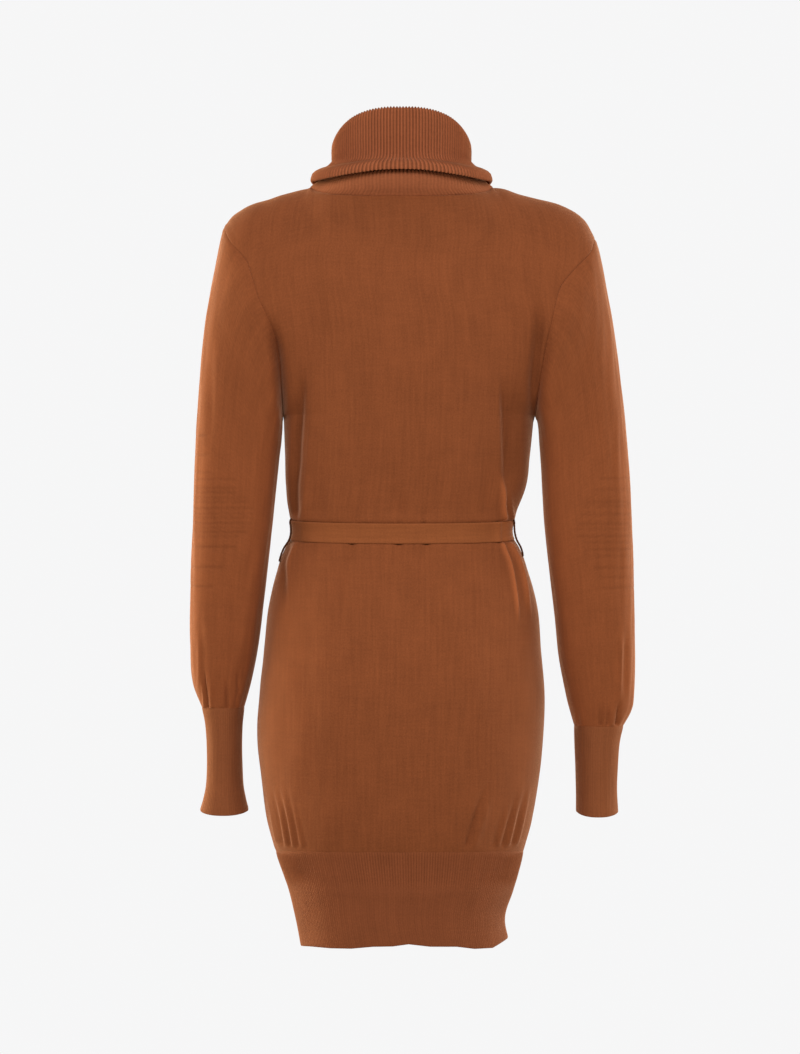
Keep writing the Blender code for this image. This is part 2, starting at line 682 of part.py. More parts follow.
def solid(rows, name, material):
    """A closed body through rings of points, capped at both ends."""
    count, around = rows.shape[:2]
    faces = [list(range(around)), list(range((count - 1) * around, count * around))[::-1]]
    for i in range(count - 1):
        for j in range(around):
            nxt = (j + 1) % around
            faces.append([i * around + j, i * around + nxt, (i + 1) * around + nxt, (i + 1) * around + j])
    make_object(name, rows.reshape(-1, 3) * MM, faces, material)


def add_tails(front):
    """Two free ends of the sash, hanging from the knot just clear of the skirt."""
    for hand, word in ((LEFT, "left"), (RIGHT, "right")):
        rows = []
        for sideways, height in TAIL_PATH[hand]:
            skirt = lower_point(height, 0, FRONT)[1]
            y = min(skirt - TAIL_CLEAR, front - SASH_CLEAR - SASH_WALL - TAIL_BEHIND_KNOT)
            y -= TAIL_STEP if hand == RIGHT else 0
            half = TAIL_WIDTH / 2
            rows.append([
                (sideways - half, y, height),
                (sideways + half, y, height),
                (sideways + half, y - SASH_WALL, height),
                (sideways - half, y - SASH_WALL, height),
            ])
        solid(np.array(rows, float), "belt_tail_" + word, MATERIALS["sash"])


def add_loops(grid, front_grid):
    """Thread loops that stand off the back beside its seams and go round the sash."""
    normals = panel_normals(grid, front_grid, BACK)
    for hand, word in ((LEFT, "left"), (RIGHT, "right")):
        column = COLUMNS - LOOP_COLUMN if hand == LEFT else LOOP_COLUMN
        line, outward = grid[:UNDERARM_ROW, column], normals[:UNDERARM_ROW, column]
        path, out = [], []
        for height, clear in LOOP_PATH[hand]:
            base = np.array([np.interp(height, line[:, 2], line[:, k]) for k in range(3)])
            across = [np.interp(height, line[:, 2], outward[:, k]) for k in range(2)]
            normal = unit(np.array(across + [0.0]))
            path.append(base + normal * (clear + LOOP_THICK / 2))
            out.append(normal)
        along = unit(np.gradient(np.array(path), axis=0))
        rows = []
        for point, way, normal in zip(path, along, out):
            wide = unit(np.cross(way, normal)) * LOOP_WIDE / 2
            thick = unit(np.cross(wide, way)) * LOOP_THICK / 2
            rows.append([point + a * thick + b * wide for a, b in ((-1, -1), (1, -1), (1, 1), (-1, 1))])
        solid(np.array(rows), "belt_loop_" + word, MATERIALS["sash"])


for leftover in list(bpy.data.objects):
    bpy.data.objects.remove(leftover, do_unlink=True)

MATERIALS = {
    "knit": make_material("knit", KNIT, 0.9),
    "rib": make_material("rib", RIB, 0.9),
    "sash": make_material("sash", SASH, 0.9),
}

panel_grids = add_panels()
for arm, arm_word in ((LEFT, "left"), (RIGHT, "right")):
    add_cuff(arm, arm_word, add_sleeve(arm, arm_word))
add_collar()
waist_front = add_sash(panel_grids)
add_knot(waist_front)
add_tails(waist_front)
add_loops(panel_grids[BACK], panel_grids[FRONT])
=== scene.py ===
"""Looks of the knitted sweater dress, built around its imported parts.

Millimetres below, metres in the meshes. +Z up, the front faces -Y, the wearer's left is +X.
Every piece is a thin closed shell of cloth on the same surfaces as the part, with its folds, ribs
and rolled edges.
"""

import math

import bpy
import numpy as np
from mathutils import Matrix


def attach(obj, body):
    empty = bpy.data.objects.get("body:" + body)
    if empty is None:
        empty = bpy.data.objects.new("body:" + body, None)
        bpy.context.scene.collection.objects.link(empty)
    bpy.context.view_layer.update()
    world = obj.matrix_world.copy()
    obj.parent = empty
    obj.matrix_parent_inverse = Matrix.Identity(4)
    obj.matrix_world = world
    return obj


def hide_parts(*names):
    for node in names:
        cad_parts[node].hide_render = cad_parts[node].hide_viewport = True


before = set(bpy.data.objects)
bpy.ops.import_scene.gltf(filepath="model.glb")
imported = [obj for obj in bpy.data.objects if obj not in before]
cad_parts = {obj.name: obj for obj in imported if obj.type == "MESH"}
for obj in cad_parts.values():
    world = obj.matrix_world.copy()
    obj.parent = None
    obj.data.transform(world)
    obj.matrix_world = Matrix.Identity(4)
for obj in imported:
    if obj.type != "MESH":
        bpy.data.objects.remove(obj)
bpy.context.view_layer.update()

MM = 0.001
WALL = 1.8  # jersey
RIB_WALL = 2.0  # collar, cuffs and hem band, besides the ribs' own depth
SEAM_GAP = 0.3  # as in the part
SEAM_LAP = 0.2  # facing edges pass each other by this much, so no light shows between them
SASH_WALL = 2.0
SASH_CLEAR = 0.4

LEFT, RIGHT = 1, -1
BACK, FRONT = 1, -1

# ---- the form, as in the part ----

# The body below the armholes. columns: height, left edge, right edge, front depth, back depth
BODY = [
    (-867, 115.6, -122.2, -92, 99),
    (-837, 121.3, -118.7, -93, 101),
    (-803, 129.4, -128.2, -96, 104),
    (-768, 141.0, -137.7, -101, 109),
    (-757, 144.3, -140.2, -104, 112),
    (-720, 155.0, -150.2, -108, 118),
    (-682, 159.3, -157.0, -111, 122),
    (-630, 165.0, -162.8, -112, 126),
    (-580, 163.2, -164.7, -114, 127),
    (-527, 158.0, -160.5, -114, 122),
    (-475, 152.4, -155.9, -111, 110),
    (-440, 144.3, -146.7, -106, 99),
    (-410, 133.5, -134.7, -99, 89),
    (-399, 125.6, -127.0, -96, 86),
    (-378, 125.2, -127.0, -96, 86),
    (-366, 129.5, -132.2, -100, 88),
    (-337, 132.8, -142.7, -111, 93),
    (-302, 134.0, -147.8, -121, 99),
    (-268, 135.1, -151.3, -125, 103),
    (-232, 135.4, -154.2, -122, 106),
    (-180, 135.4, -156.2, -116, 107),
]
HEM, BAND_SEAM, LAST_LOWER = -867.0, -757.0, -265.0
BODY_ROUND = 2.15
SASH_ROWS = (-399.0, -378.0)
SASH_MIDDLE = sum(SASH_ROWS) / 2
SASH_DIP, DIP_REACH = 5.0, 26.0
# columns: height, rise at the centre back
BACK_RISE = [(-867, 10.5), (-757, 8.0), (-700, 3.0), (-640, 0.0)]
NECK_SHARE = 0.7
UNDERARM_FLARE, FLARE_SHARPNESS, ROW_RISE, NECK_PULL = 1.5, 14, 1.5, 6
TOP_SOFTENING, TOP_SHARPNESS = 0.14, 24  # rows below the top edge follow it less sharply
EDGE_STEPS = (0.35, 0.9, 1.8)  # closer rows beside an edge
ARMHOLE = {LEFT: (-258.0, -42.0), RIGHT: (-258.0, -55.0)}
ARMHOLE_DEPTH = {BACK: 76.0, FRONT: -78.0}
RIDGE_Y = 5.0
# columns: height, left back, right back, left front, right front
ARMHOLE_LINE = [
    (-258, 136.0, 153.5, 136.0, 153.5),
    (-230, 136.8, 156.0, 136.5, 155.0),
    (-197, 138.5, 160.4, 137.5, 157.5),
    (-172, 142.5, 164.5, 140.0, 161.0),
    (-150, 150.5, 169.0, 146.0, 165.5),
    (-126, 162.0, 174.0, 156.0, 171.0),
    (-103, 169.0, 181.0, 164.0, 178.0),
    (-82, 177.0, 197.0, 173.0, 192.0),
    (-62, 194.0, 214.5, 190.0, 210.0),
    (-42, 204.0, 222.0, 204.0, 222.0),
]
LINE_COLUMN = {(LEFT, BACK): 1, (RIGHT, BACK): 2, (LEFT, FRONT): 3, (RIGHT, FRONT): 4}
# columns: distance from the middle, left height, right height
RIDGE = [
    (105, 4.2, 5.2),
    (114, 2.3, 3.8),
    (133, -3.4, -3.0),
    (151, -9.0, -7.6),
    (170, -14.6, -11.8),
    (184, -21.0, -16.0),
    (196, -30.0, -22.0),
    (204, -42.0, -28.0),
    (214, -56.0, -39.0),
    (222, -70.0, -55.0),
]
# columns: degrees from the centre back, height
NECKLINE = [
    (0, -11), (30, -10), (50, -7.5), (70, -2), (90, 4.6), (110, -8), (130, -30), (150, -49),
    (168, -58), (180, -59.5),
]
NECK_HALF_WIDTH = 105.0
NECK_DEPTH = {BACK: 73.0, FRONT: -85.0}
# columns: height, front, back
MIDDLE = [
    (-268, -125, 103),
    (-232, -122, 106),
    (-180, -116, 107),
    (-130, -106, 103),
    (-80, -92, 94),
    (-40, -76, 85),
    (-11, -70, 78),
]
# columns: outer x, outer z, inner x, inner z, half depth, middle y
SLEEVE = {
    LEFT: [
        (206.6, -52, 136.4, -261.0, 74.5, 2),
        (209.8, -68, 136.6, -265.5, 71.5, 2),
        (214.2, -90, 136.8, -272.0, 67.5, 1),
        (219.8, -117, 137.4, -280.0, 63.0, 0),
        (225.5, -150, 138.2, -290.0, 58.5, 0),
        (230.0, -190, 140.0, -303.0, 55.0, -1),
        (233.0, -230, 142.0, -321.0, 52.5, -2),
        (236.0, -275, 144.8, -347.0, 50.5, -3),
        (238.5, -330, 148.2, -381.0, 49.0, -4),
        (240.5, -390, 153.0, -423.0, 47.5, -6),
        (243.0, -455, 158.5, -472.0, 46.0, -9),
        (243.3, -520, 165.0, -522.0, 44.5, -13),
        (241.0, -562, 173.0, -562.0, 42.0, -17),
        (230.5, -593, 181.5, -593.0, 36.5, -20),
    ],
    RIGHT: [
        (-225.4, -64, -155.0, -261.0, 74.5, 2),
        (-228.6, -77, -156.4, -265.0, 71.5, 2),
        (-232.4, -95, -157.4, -272.0, 67.5, 1),
        (-236.8, -119, -158.0, -280.0, 63.0, 0),
        (-242.5, -150, -158.6, -290.0, 58.5, 0),
        (-248.5, -192, -159.6, -303.0, 55.0, -1),
        (-254.0, -235, -160.8, -322.0, 52.5, -2),
        (-258.5, -280, -162.1, -349.0, 50.5, -3),
        (-263.0, -335, -164.5, -383.0, 49.0, -4),
        (-265.8, -400, -169.5, -430.0, 47.5, -6),
        (-268.0, -470, -176.0, -484.0, 46.0, -9),
        (-269.1, -535, -181.5, -536.0, 44.5, -13),
        (-268.6, -580, -190.2, -580.0, 42.0, -18),
        (-265.6, -597, -194.6, -597.0, 39.8, -19.5),
        (-256.5, -614, -199.5, -614.0, 36.5, -21),
    ],
}
SLEEVE_ROUND, CAP_BLEND = 2.4, 4
# columns: outer x, inner x, height, half depth, middle y
CUFF = {
    LEFT: [
        (230.5, 181.5, -593, 36.5, -20),
        (226.5, 183.6, -615, 34.5, -22),
        (225.0, 184.6, -645, 34.0, -25),
        (225.8, 183.4, -680, 34.5, -28),
        (228.8, 180.4, -698, 35.6, -29),
        (233.2, 177.0, -713, 37.0, -30),
    ],
    RIGHT: [
        (-256.6, -199.6, -614, 36.5, -21),
        (-252.4, -200.2, -634, 34.5, -23),
        (-250.6, -201.6, -660, 34.0, -26),
        (-249.6, -202.3, -690, 34.5, -29),
        (-250.6, -202.3, -715, 36.0, -31),
    ],
}
CUFF_SLANT = 4.0
NECK_TUBE = (76.8, 64.0)
# The collar's cloth from the neck seam over the fold to the free edge.
# columns: share of the way up from seam to fold, size at the back, the sides and the front
COLLAR_RISE = [
    (0.07, 1.220, 1.310, 1.290),
    (0.15, 1.262, 1.240, 1.230),
    (0.24, 1.255, 1.130, 1.130),
    (0.31, 1.165, 1.035, 1.030),
    (0.38, 1.030, 0.955, 0.955),
    (0.45, 0.945, 0.925, 0.925),
    (0.86, 0.922, 0.922, 0.922),
]
COLLAR_FOLD = [(0.940, 0.0), (0.968, 2.6), (0.996, 0.0)]  # size, millimetres above the fold line
COLLAR_FALL = [(1.005, 0.10), (1.005, 0.35)]  # size, share of the way down from fold to free edge
# columns: size, millimetres above the edge
FREE_EDGE = [(1.03, 15.0), (1.09, 11.5), (1.19, 9.3), (1.30, 5.2), (1.325, -1.0)]
# columns: degrees from the centre back, fold's height, free edge's height
COLLAR_LINES = [
    (0, 85.6, 18.0),
    (12, 85.3, 17.6),
    (30, 82.2, 14.8),
    (45, 76.6, 12.5),
    (60, 68, 10.8),
    (75, 58.5, 10.6),
    (90, 51, 11.8),
    (120, 44, 1.5),
    (150, 40, -16.0),
    (168, 39.1, -22.6),
    (180, 39, -23.4),
]
FREE_EDGE_FRONT_LEAN = 8.0
FLARE_AT_SIDES = 0.25  # how much higher the flare starts at the sides than at the back
LOOP_SHARE, LOOP_THICK, LOOP_WIDE = 0.9, 2.4, 3.2
# columns: height, clear of the dress
LOOP_PATH = {
    LEFT: [
        (-375.5, 0.4), (-378.6, 2.6), (-384, 3.2), (-391, 3.5), (-399, 3.5), (-406, 2.8), (-414, 1.6),
        (-425, 0.4),
    ],
    RIGHT: [
        (-375.5, 0.4), (-378.8, 2.4), (-384, 3.8), (-391, 5.0), (-398, 5.4), (-405, 4.6), (-412, 2.6),
        (-419, 0.4),
    ],
}
KNOT_SIZE = (30.0, 16.0, 26.0)
TAIL_WIDTH = 21.0
# columns: sideways, height
TAIL_PATH = {
    LEFT: [(6, -402), (14, -440), (21, -500), (25, -560), (27, -605)],
    RIGHT: [(-6, -402), (-12, -440), (-17, -500), (-20, -555), (-21, -585)],
}
TAIL_CLEAR, TAIL_BEHIND_KNOT, TAIL_STEP = 3.0, 2.4, 2.6

# ---- folds ----
# Lines down the back that a fold shares with its painted shade or highlight, or with its depth, as (x, z)
LEFT_CHANNEL = [(110, -200), (112, -252), (114.7, -286), (116.4, -315), (118.5, -343), (118, -379)]
UNDER_RIGHT_ARM = [(-153, -110), (-155, -160), (-152, -215), (-149, -285)]
RIGHT_RIDGE = [(-112.5, -322), (-115.5, -345), (-115.5, -362), (-117, -381)]
RIGHT_HIP_RIDGE = [(-112, -402), (-121.5, -423), (-126, -445), (-129.5, -470), (-132, -500)]
RIGHT_HIP_EDGE = [(-121, -402), (-133, -423), (-142, -456), (-148, -497)]
# columns: height, half width to the wearer's right, half width to the left, fade in, fade out
# (shares of its length), line down the cloth as (x, z)
FOLDS = {
    BACK: [
        # above the sash at the wearer's left
        (1.8, 4.5, 3.0, 0.5, 0.10, [(99, -220), (103, -276), (108, -332), (112, -377)]),
        # above the sash at the right
        (4.6, 2.4, 3.0, 0.5, 0.04, RIGHT_RIDGE),
        (2.4, 2.2, 2.2, 0.5, 0.05, [(-122, -340), (-124, -360), (-126, -381)]),
        # pleats that run into the sash
        (-2.2, 2.5, 2.5, 0.7, 0.05, [(52, -352), (54.5, -381)]),
        (-2.8, 3.0, 3.0, 0.7, 0.05, [(-3, -342), (1.5, -383)]),
        (-2.0, 3.0, 3.0, 0.6, 0.05, [(-32, -360), (-25, -383)]),
        (0.6, 5.0, 5.0, 0.6, 0.05, [(20, -350), (24, -380)]),
        # puckers under the sash
        (-2.6, 2.6, 2.6, 0.05, 0.7, [(54.5, -397), (56, -408)]),
        (-3.4, 3.6, 3.6, 0.05, 0.7, [(2.5, -397), (3.5, -408)]),
        (-2.8, 2.8, 2.8, 0.05, 0.7, [(-29, -397), (-28, -408)]),
        (-1.6, 4.0, 4.0, 0.05, 0.6, [(55.5, -400), (62, -436)]),
        (-1.6, 4.5, 4.5, 0.05, 0.6, [(2.5, -400), (8, -438)]),
        (-1.4, 4.0, 4.0, 0.05, 0.6, [(-28.5, -400), (-20.5, -432)]),
        (1.2, 7.0, 7.0, 0.2, 0.7, [(30, -404), (33, -442)]),
        (0.9, 5.0, 5.0, 0.2, 0.7, [(-12, -404), (-7, -436)]),
        (1.0, 8.0, 8.0, 0.2, 0.7, [(80, -404), (88, -445)]),
        (1.0, 8.0, 8.0, 0.2, 0.7, [(-55, -404), (-52, -444)]),
        # drape over and under the waist
        (-2.4, 9.0, 9.0, 0.5, 0.10, [(7, -280), (4, -377)]),
        (-1.8, 6.0, 6.0, 0.5, 0.10, [(-24, -300), (-27, -377)]),
        (-2.2, 8.0, 8.0, 0.5, 0.10, [(-96, -270), (-98, -377)]),
        (-2.0, 9.0, 9.0, 0.5, 0.10, [(84, -290), (92, -377)]),
        (-1.8, 6.0, 8.0, 0.1, 0.6, [(62, -415), (67, -505)]),
        (-1.8, 7.0, 7.0, 0.1, 0.6, [(6, -415), (9, -500)]),
        (-1.8, 6.0, 6.0, 0.1, 0.6, [(-25, -415), (-20, -500)]),
        (-1.2, 8.0, 8.0, 0.1, 0.6, [(-78, -430), (-80, -530)]),
        # below the sash at the sides
        (1.4, 2.4, 2.0, 0.1, 0.4, [(118, -402), (128, -424), (127, -450), (127, -480)]),
        (3.4, 1.8, 2.2, 0.05, 0.35, RIGHT_HIP_RIDGE),
        (3.6, 2.4, 3.0, 0.05, 0.5, RIGHT_HIP_EDGE),
        # soft fold under the right arm
        (-3.0, 9.0, 9.0, 0.4, 0.5, [(-152, -150), (-150, -209), (-149, -275)]),
        # gathers over the hem band
        (1.3, 2.2, 2.2, 0.6, 0.05, [(154, -684), (141, -746)]),
        (-1.7, 2.2, 2.2, 0.6, 0.05, [(150, -672), (140, -712), (134, -748)]),
        (1.3, 2.2, 2.2, 0.6, 0.05, [(146.5, -680), (136, -716), (130, -748)]),
        (-1.8, 2.2, 2.0, 0.6, 0.05, [(143, -668), (132, -712), (126, -748)]),
        (1.4, 2.2, 2.2, 0.6, 0.05, [(138, -672), (128, -712), (121.5, -748)]),
        (-1.6, 2.4, 2.2, 0.6, 0.05, [(134, -664), (124, -706), (117, -748)]),
        (0.9, 2.6, 2.6, 0.6, 0.05, [(128, -680), (119, -716), (112, -748)]),
        (-0.9, 2.6, 2.6, 0.6, 0.05, [(120, -690), (108, -748)]),
        (2.2, 2.2, 2.8, 0.6, 0.08, [(-147, -672), (-138, -712), (-129.5, -748)]),
        (-1.8, 2.2, 2.2, 0.6, 0.08, [(-142, -676), (-133, -712), (-125, -748)]),
        (2.2, 2.2, 2.8, 0.6, 0.08, [(-137, -672), (-127, -712), (-119.5, -748)]),
        (-1.9, 2.2, 2.4, 0.6, 0.08, [(-131, -680), (-122, -716), (-114, -748)]),
        (1.3, 2.4, 2.4, 0.6, 0.08, [(-124, -688), (-116, -716), (-108.5, -748)]),
        (-1.0, 3.0, 3.0, 0.6, 0.08, [(-118, -694), (-104, -748)]),
        (-4.2, 2.2, 3.6, 0.5, 0.10, [(-98, -670), (-88, -698), (-73, -748)]),
        (1.4, 4.0, 3.0, 0.5, 0.10, [(-103, -676), (-96, -700), (-80, -748)]),
        (-0.8, 4.0, 4.0, 0.5, 0.10, [(64, -700), (52, -748)]),
        (-0.7, 5.0, 4.0, 0.5, 0.10, [(-30, -705), (-22, -748)]),
        # print of the sewn-in label's edges
        (0.55, 1.4, 1.4, 0.1, 0.10, [(23, -13), (23, -36)]),
        (0.55, 1.4, 1.4, 0.1, 0.10, [(-29, -13), (-29, -36)]),
    ],
    FRONT: [
        (1.0, 4.0, 2.5, 0.5, 0.10, [(100, -232), (104, -290), (110, -377)]),
        (1.2, 2.5, 4.5, 0.6, 0.05, [(-103, -225), (-106, -300), (-109, -381)]),
        (-1.6, 2.8, 2.8, 0.7, 0.05, [(48, -348), (44, -381)]),
        (-1.3, 2.8, 2.8, 0.7, 0.05, [(27, -357), (24, -383)]),
        (-1.8, 3.0, 3.0, 0.7, 0.05, [(-24, -345), (-22, -383)]),
        (-1.2, 3.0, 3.0, 0.6, 0.05, [(-60, -358), (-55, -383)]),
        (-2.8, 4.5, 4.5, 0.05, 0.6, [(50, -404), (57, -433)]),
        (-2.4, 4.5, 4.5, 0.05, 0.6, [(24, -404), (27, -430)]),
        (-2.8, 4.5, 4.5, 0.05, 0.6, [(-40, -404), (-46, -436)]),
        (1.1, 7.0, 7.0, 0.2, 0.7, [(74, -404), (83, -446)]),
        (1.0, 7.0, 7.0, 0.2, 0.7, [(-66, -404), (-72, -442)]),
        (1.2, 3.0, 3.0, 0.1, 0.4, [(112, -402), (122, -424), (128, -450)]),
        (1.3, 3.0, 3.5, 0.05, 0.5, [(-112, -402), (-122, -428), (-130, -462)]),
        (-2.0, 9.0, 9.0, 0.4, 0.5, [(128, -160), (126, -215), (124, -280)]),
        (-2.4, 9.0, 9.0, 0.4, 0.5, [(-147, -160), (-146, -215), (-144, -278)]),
        (-1.4, 2.0, 2.0, 0.6, 0.05, [(146, -680), (130, -748)]),
        (-1.2, 1.8, 1.8, 0.6, 0.05, [(139, -676), (124, -748)]),
        (-1.3, 1.8, 2.0, 0.6, 0.05, [(131, -686), (117, -748)]),
        (-1.3, 2.0, 2.0, 0.6, 0.05, [(-141, -682), (-128, -748)]),
        (-1.2, 1.8, 1.8, 0.6, 0.05, [(-133, -676), (-119, -748)]),
        (-1.0, 3.0, 3.0, 0.5, 0.10, [(72, -690), (58, -748)]),
    ],
}
# Painted shade in the folds' channels and painted highlight along their ridges. columns as FOLDS, with the
# change of shade first
PAINTED_FOLD_LIGHT_AND_SHADE = {
    BACK: [
        (-0.24, 2.0, 9.0, 0.45, 0.10, LEFT_CHANNEL),
        (-0.16, 7.0, 7.0, 0.35, 0.40, UNDER_RIGHT_ARM),
        (-0.20, 26.0, 2.4, 0.45, 0.30,
         [(-113, -205), (-115, -250), (-116, -285), (-117.5, -320), (-119, -352)]),
        (-0.24, 2.0, 7.0, 0.05, 0.5, [(123, -400), (132.5, -423), (132.5, -440), (133, -480)]),
        (0.75, 2.0, 2.4, 0.4, 0.05, RIGHT_RIDGE),
        (0.16, 1.8, 1.6, 0.1, 0.4, [(118, -402), (128.5, -424), (129, -450), (129, -485)]),
        (0.75, 1.7, 2.2, 0.05, 0.35, RIGHT_HIP_RIDGE),
        (0.55, 2.2, 3.0, 0.05, 0.5, RIGHT_HIP_EDGE),
    ],
    FRONT: [],
}
# Cloth that lies farther in, straight toward the other panel. columns as FOLDS
SINKS = {
    BACK: [
        (15.0, 2.4, 10.0, 0.45, 0.06, LEFT_CHANNEL),
        (9.0, 6.5, 6.5, 0.35, 0.40, UNDER_RIGHT_ARM),
        (13.0, 20.0, 2.4, 0.45, 0.30,
         [(-112, -205), (-114, -250), (-115, -285), (-116.5, -320), (-118, -350)]),
        (7.0, 2.0, 6.0, 0.05, 0.5, [(123, -400), (132.5, -423), (132.5, -440), (133, -470)]),
    ],
    FRONT: [
        (11.0, 7.0, 10.0, 0.45, 0.06, [(115, -240), (116, -300), (114, -378)]),
        (9.0, 10.0, 10.0, 0.45, 0.30, [(-125, -235), (-124, -290), (-120, -350)]),
    ],
}
BAND_FOLDS = {
    BACK: [
        (-0.9, 6.0, 6.0, 0.3, 0.5, [(134, -775), (118, -781), (100, -783)]),
        (-1.0, 14.0, 14.0, 0.3, 0.3, [(96, -800), (104, -840), (104, -862)]),
        (0.8, 9.0, 9.0, 0.4, 0.2, [(-104, -820), (-112, -862)]),
        (0.9, 5.0, 5.0, 0.2, 0.2, [(104, -792), (60, -796), (0, -797), (-60, -796), (-104, -791)]),
    ],
    FRONT: [
        (-0.9, 7.0, 7.0, 0.3, 0.5, [(-128, -776), (-104, -786)]),
        (-1.0, 14.0, 14.0, 0.3, 0.3, [(-80, -800), (-86, -862)]),
    ],
}
# The hem's own waves. columns: x, rise
HEM_WAVES = {
    BACK: [
        (-122, 9), (-112, 3), (-104, -1.5), (-83, -2.4), (-62, 0.2), (-32, 0.3), (-8, 3.0), (10, 0.5),
        (32, 0.2), (57, -2.2), (80, -1.8), (105, -0.2), (116, 0),
    ],
    FRONT: [
        (-122, 9), (-110, 2), (-90, -1.5), (-58, 1.8), (-30, 0), (0, -2.0), (28, 0.8), (60, 2.2),
        (88, -1.2), (116, 0),
    ],
}
# Slow unevenness of knitted cloth. columns: height, wave length across, wave length down, start
RIPPLES = [(0.35, 71, 190, 0.4), (0.28, 43, 260, 2.1), (0.22, 97, 83, 4.0), (0.14, 29, 120, 1.1)]

# columns as FOLDS, for each sleeve's back and front halves
SLEEVE_FOLDS = {
    (LEFT, BACK): [
        (-0.9, 3.0, 5.0, 0.4, 0.4, [(215, -160), (216, -240), (216, -305)]),
        (0.8, 4.0, 3.0, 0.4, 0.4, [(222, -180), (224, -260), (225, -320)]),
        (-1.0, 3.5, 3.5, 0.4, 0.1, [(229, -470), (228, -540), (224, -588)]),
        (-3.6, 1.3, 1.3, 0.5, 0.02, [(226.5, -545), (225, -570), (222.5, -593)]),
        (2.4, 1.8, 1.8, 0.6, 0.02, [(229, -552), (226.5, -593)]),
        (1.8, 2.2, 2.2, 0.6, 0.02, [(218, -545), (217.5, -593)]),
        (1.6, 2.2, 2.2, 0.4, 0.3, [(232, -500), (231, -545), (233, -578)]),
        (-3.2, 1.5, 1.5, 0.6, 0.02, [(200, -552), (199, -593)]),
        (-1.8, 2.0, 2.0, 0.6, 0.10, [(188, -545), (186, -577)]),
        (0.8, 3.0, 3.0, 0.6, 0.02, [(206, -560), (206, -592)]),
        (-1.0, 2.0, 2.0, 0.6, 0.02, [(188, -572), (190, -592)]),
        (-1.2, 1.8, 1.8, 0.6, 0.02, [(229, -560), (227.5, -592)]),
        (-1.6, 8.0, 8.0, 0.3, 0.5, [(182, -420), (192, -470), (190, -560)]),
    ],
    (LEFT, FRONT): [
        (-1.2, 4.0, 5.0, 0.4, 0.4, [(212, -170), (214, -250), (212, -310)]),
        (1.2, 4.0, 4.0, 0.4, 0.4, [(190, -300), (196, -360), (206, -400)]),
        (-1.6, 5.0, 4.0, 0.4, 0.4, [(176, -330), (186, -380), (200, -410)]),
        (-1.4, 5.0, 4.0, 0.4, 0.4, [(178, -370), (190, -412), (204, -432)]),
        (-2.2, 1.8, 1.8, 0.6, 0.02, [(214, -550), (214, -592)]),
        (-1.8, 1.6, 1.6, 0.6, 0.02, [(203, -562), (204, -592)]),
        (-1.6, 1.6, 1.6, 0.6, 0.02, [(192, -560), (194, -592)]),
        (1.0, 2.4, 2.4, 0.6, 0.02, [(208, -556), (209, -592)]),
    ],
    (RIGHT, BACK): [
        (0.9, 3.0, 3.0, 0.4, 0.3, [(-242, -220), (-246.5, -270), (-247, -332)]),
        (-0.9, 4.0, 4.0, 0.4, 0.4, [(-238, -240), (-240, -300), (-240, -350)]),
        (0.9, 4.0, 4.0, 0.4, 0.4, [(-253, -360), (-254, -410), (-255, -450)]),
        (-1.0, 6.0, 6.0, 0.4, 0.2, [(-240, -520), (-241, -560), (-240, -600)]),
        (-4.4, 1.8, 1.8, 0.6, 0.02, [(-229, -582), (-228, -613)]),
        (-3.0, 1.8, 1.8, 0.6, 0.02, [(-237, -586), (-236, -613)]),
        (-4.0, 1.8, 1.8, 0.6, 0.02, [(-250, -580), (-247, -613)]),
        (1.8, 2.2, 2.2, 0.3, 0.3, [(-251, -500), (-250.5, -550), (-249, -592)]),
        (-1.6, 3.0, 3.0, 0.3, 0.3, [(-257, -505), (-256, -588)]),
        (1.1, 2.2, 2.2, 0.6, 0.02, [(-242, -585), (-240.5, -613)]),
        (1.0, 2.2, 2.2, 0.6, 0.02, [(-232, -588), (-231, -613)]),
        (-1.0, 2.0, 2.0, 0.6, 0.02, [(-201, -588), (-204, -613)]),
    ],
    (RIGHT, FRONT): [
        (1.0, 4.0, 4.0, 0.4, 0.4, [(-236, -200), (-240, -280), (-238, -330)]),
        (-1.6, 5.0, 5.0, 0.4, 0.4, [(-190, -340), (-204, -392), (-220, -425)]),
        (-1.4, 5.0, 4.0, 0.4, 0.4, [(-192, -385), (-206, -430), (-222, -455)]),
        (1.1, 4.5, 4.5, 0.4, 0.4, [(-200, -345), (-214, -400), (-228, -440)]),
        (-2.0, 1.8, 1.8, 0.6, 0.02, [(-240, -575), (-238, -613)]),
        (-1.8, 1.6, 1.6, 0.6, 0.02, [(-225, -580), (-226, -613)]),
        (-1.6, 1.6, 1.6, 0.6, 0.02, [(-212, -578), (-214, -613)]),
        (1.0, 2.4, 2.4, 0.6, 0.02, [(-219, -580), (-220, -613)]),
    ],
}
# Purl rows across the back of each elbow, in a stepped patch.
# columns: height, where it ends toward the body, depth
LADDER = {
    LEFT: [
        (-281, 219, 0.5), (-303, 216, 0.5), (-323, 214, 0.5), (-331, 186, 0.35), (-341, 184, 0.4),
        (-346, 184, 0.45), (-352, 172, 0.3), (-357, 170, 0.35), (-364, 167, 0.45), (-370, 166, 0.3),
        (-375, 166, 0.35), (-381, 167, 0.45), (-386, 170, 0.3), (-391, 172, 0.45), (-396, 182, 0.3),
        (-408, 186, 0.5), (-431, 200, 0.5), (-453, 212, 0.5),
    ],
    RIGHT: [
        (-330, -222, 0.4), (-343, -216, 0.3), (-357, -206, 0.4), (-362, -204, 0.3), (-371, -200, 0.35),
        (-382, -196, 0.4), (-388, -196, 0.3), (-396, -197, 0.4), (-403, -204, 0.3), (-411, -206, 0.4),
        (-419, -208, 0.3), (-432, -214, 0.4), (-443, -220, 0.3), (-455, -226, 0.4),
    ],
}
# a purl row's half width and fade, and the painted shade in its groove
LADDER_HALF_WIDTH, LADDER_FADE, PAINTED_LADDER_SHADE = 1.7, 6.0, 0.32
LADDER_TURN = 0.35  # how soon the rows fade out past the sleeve's outer and inner lines, as a sine
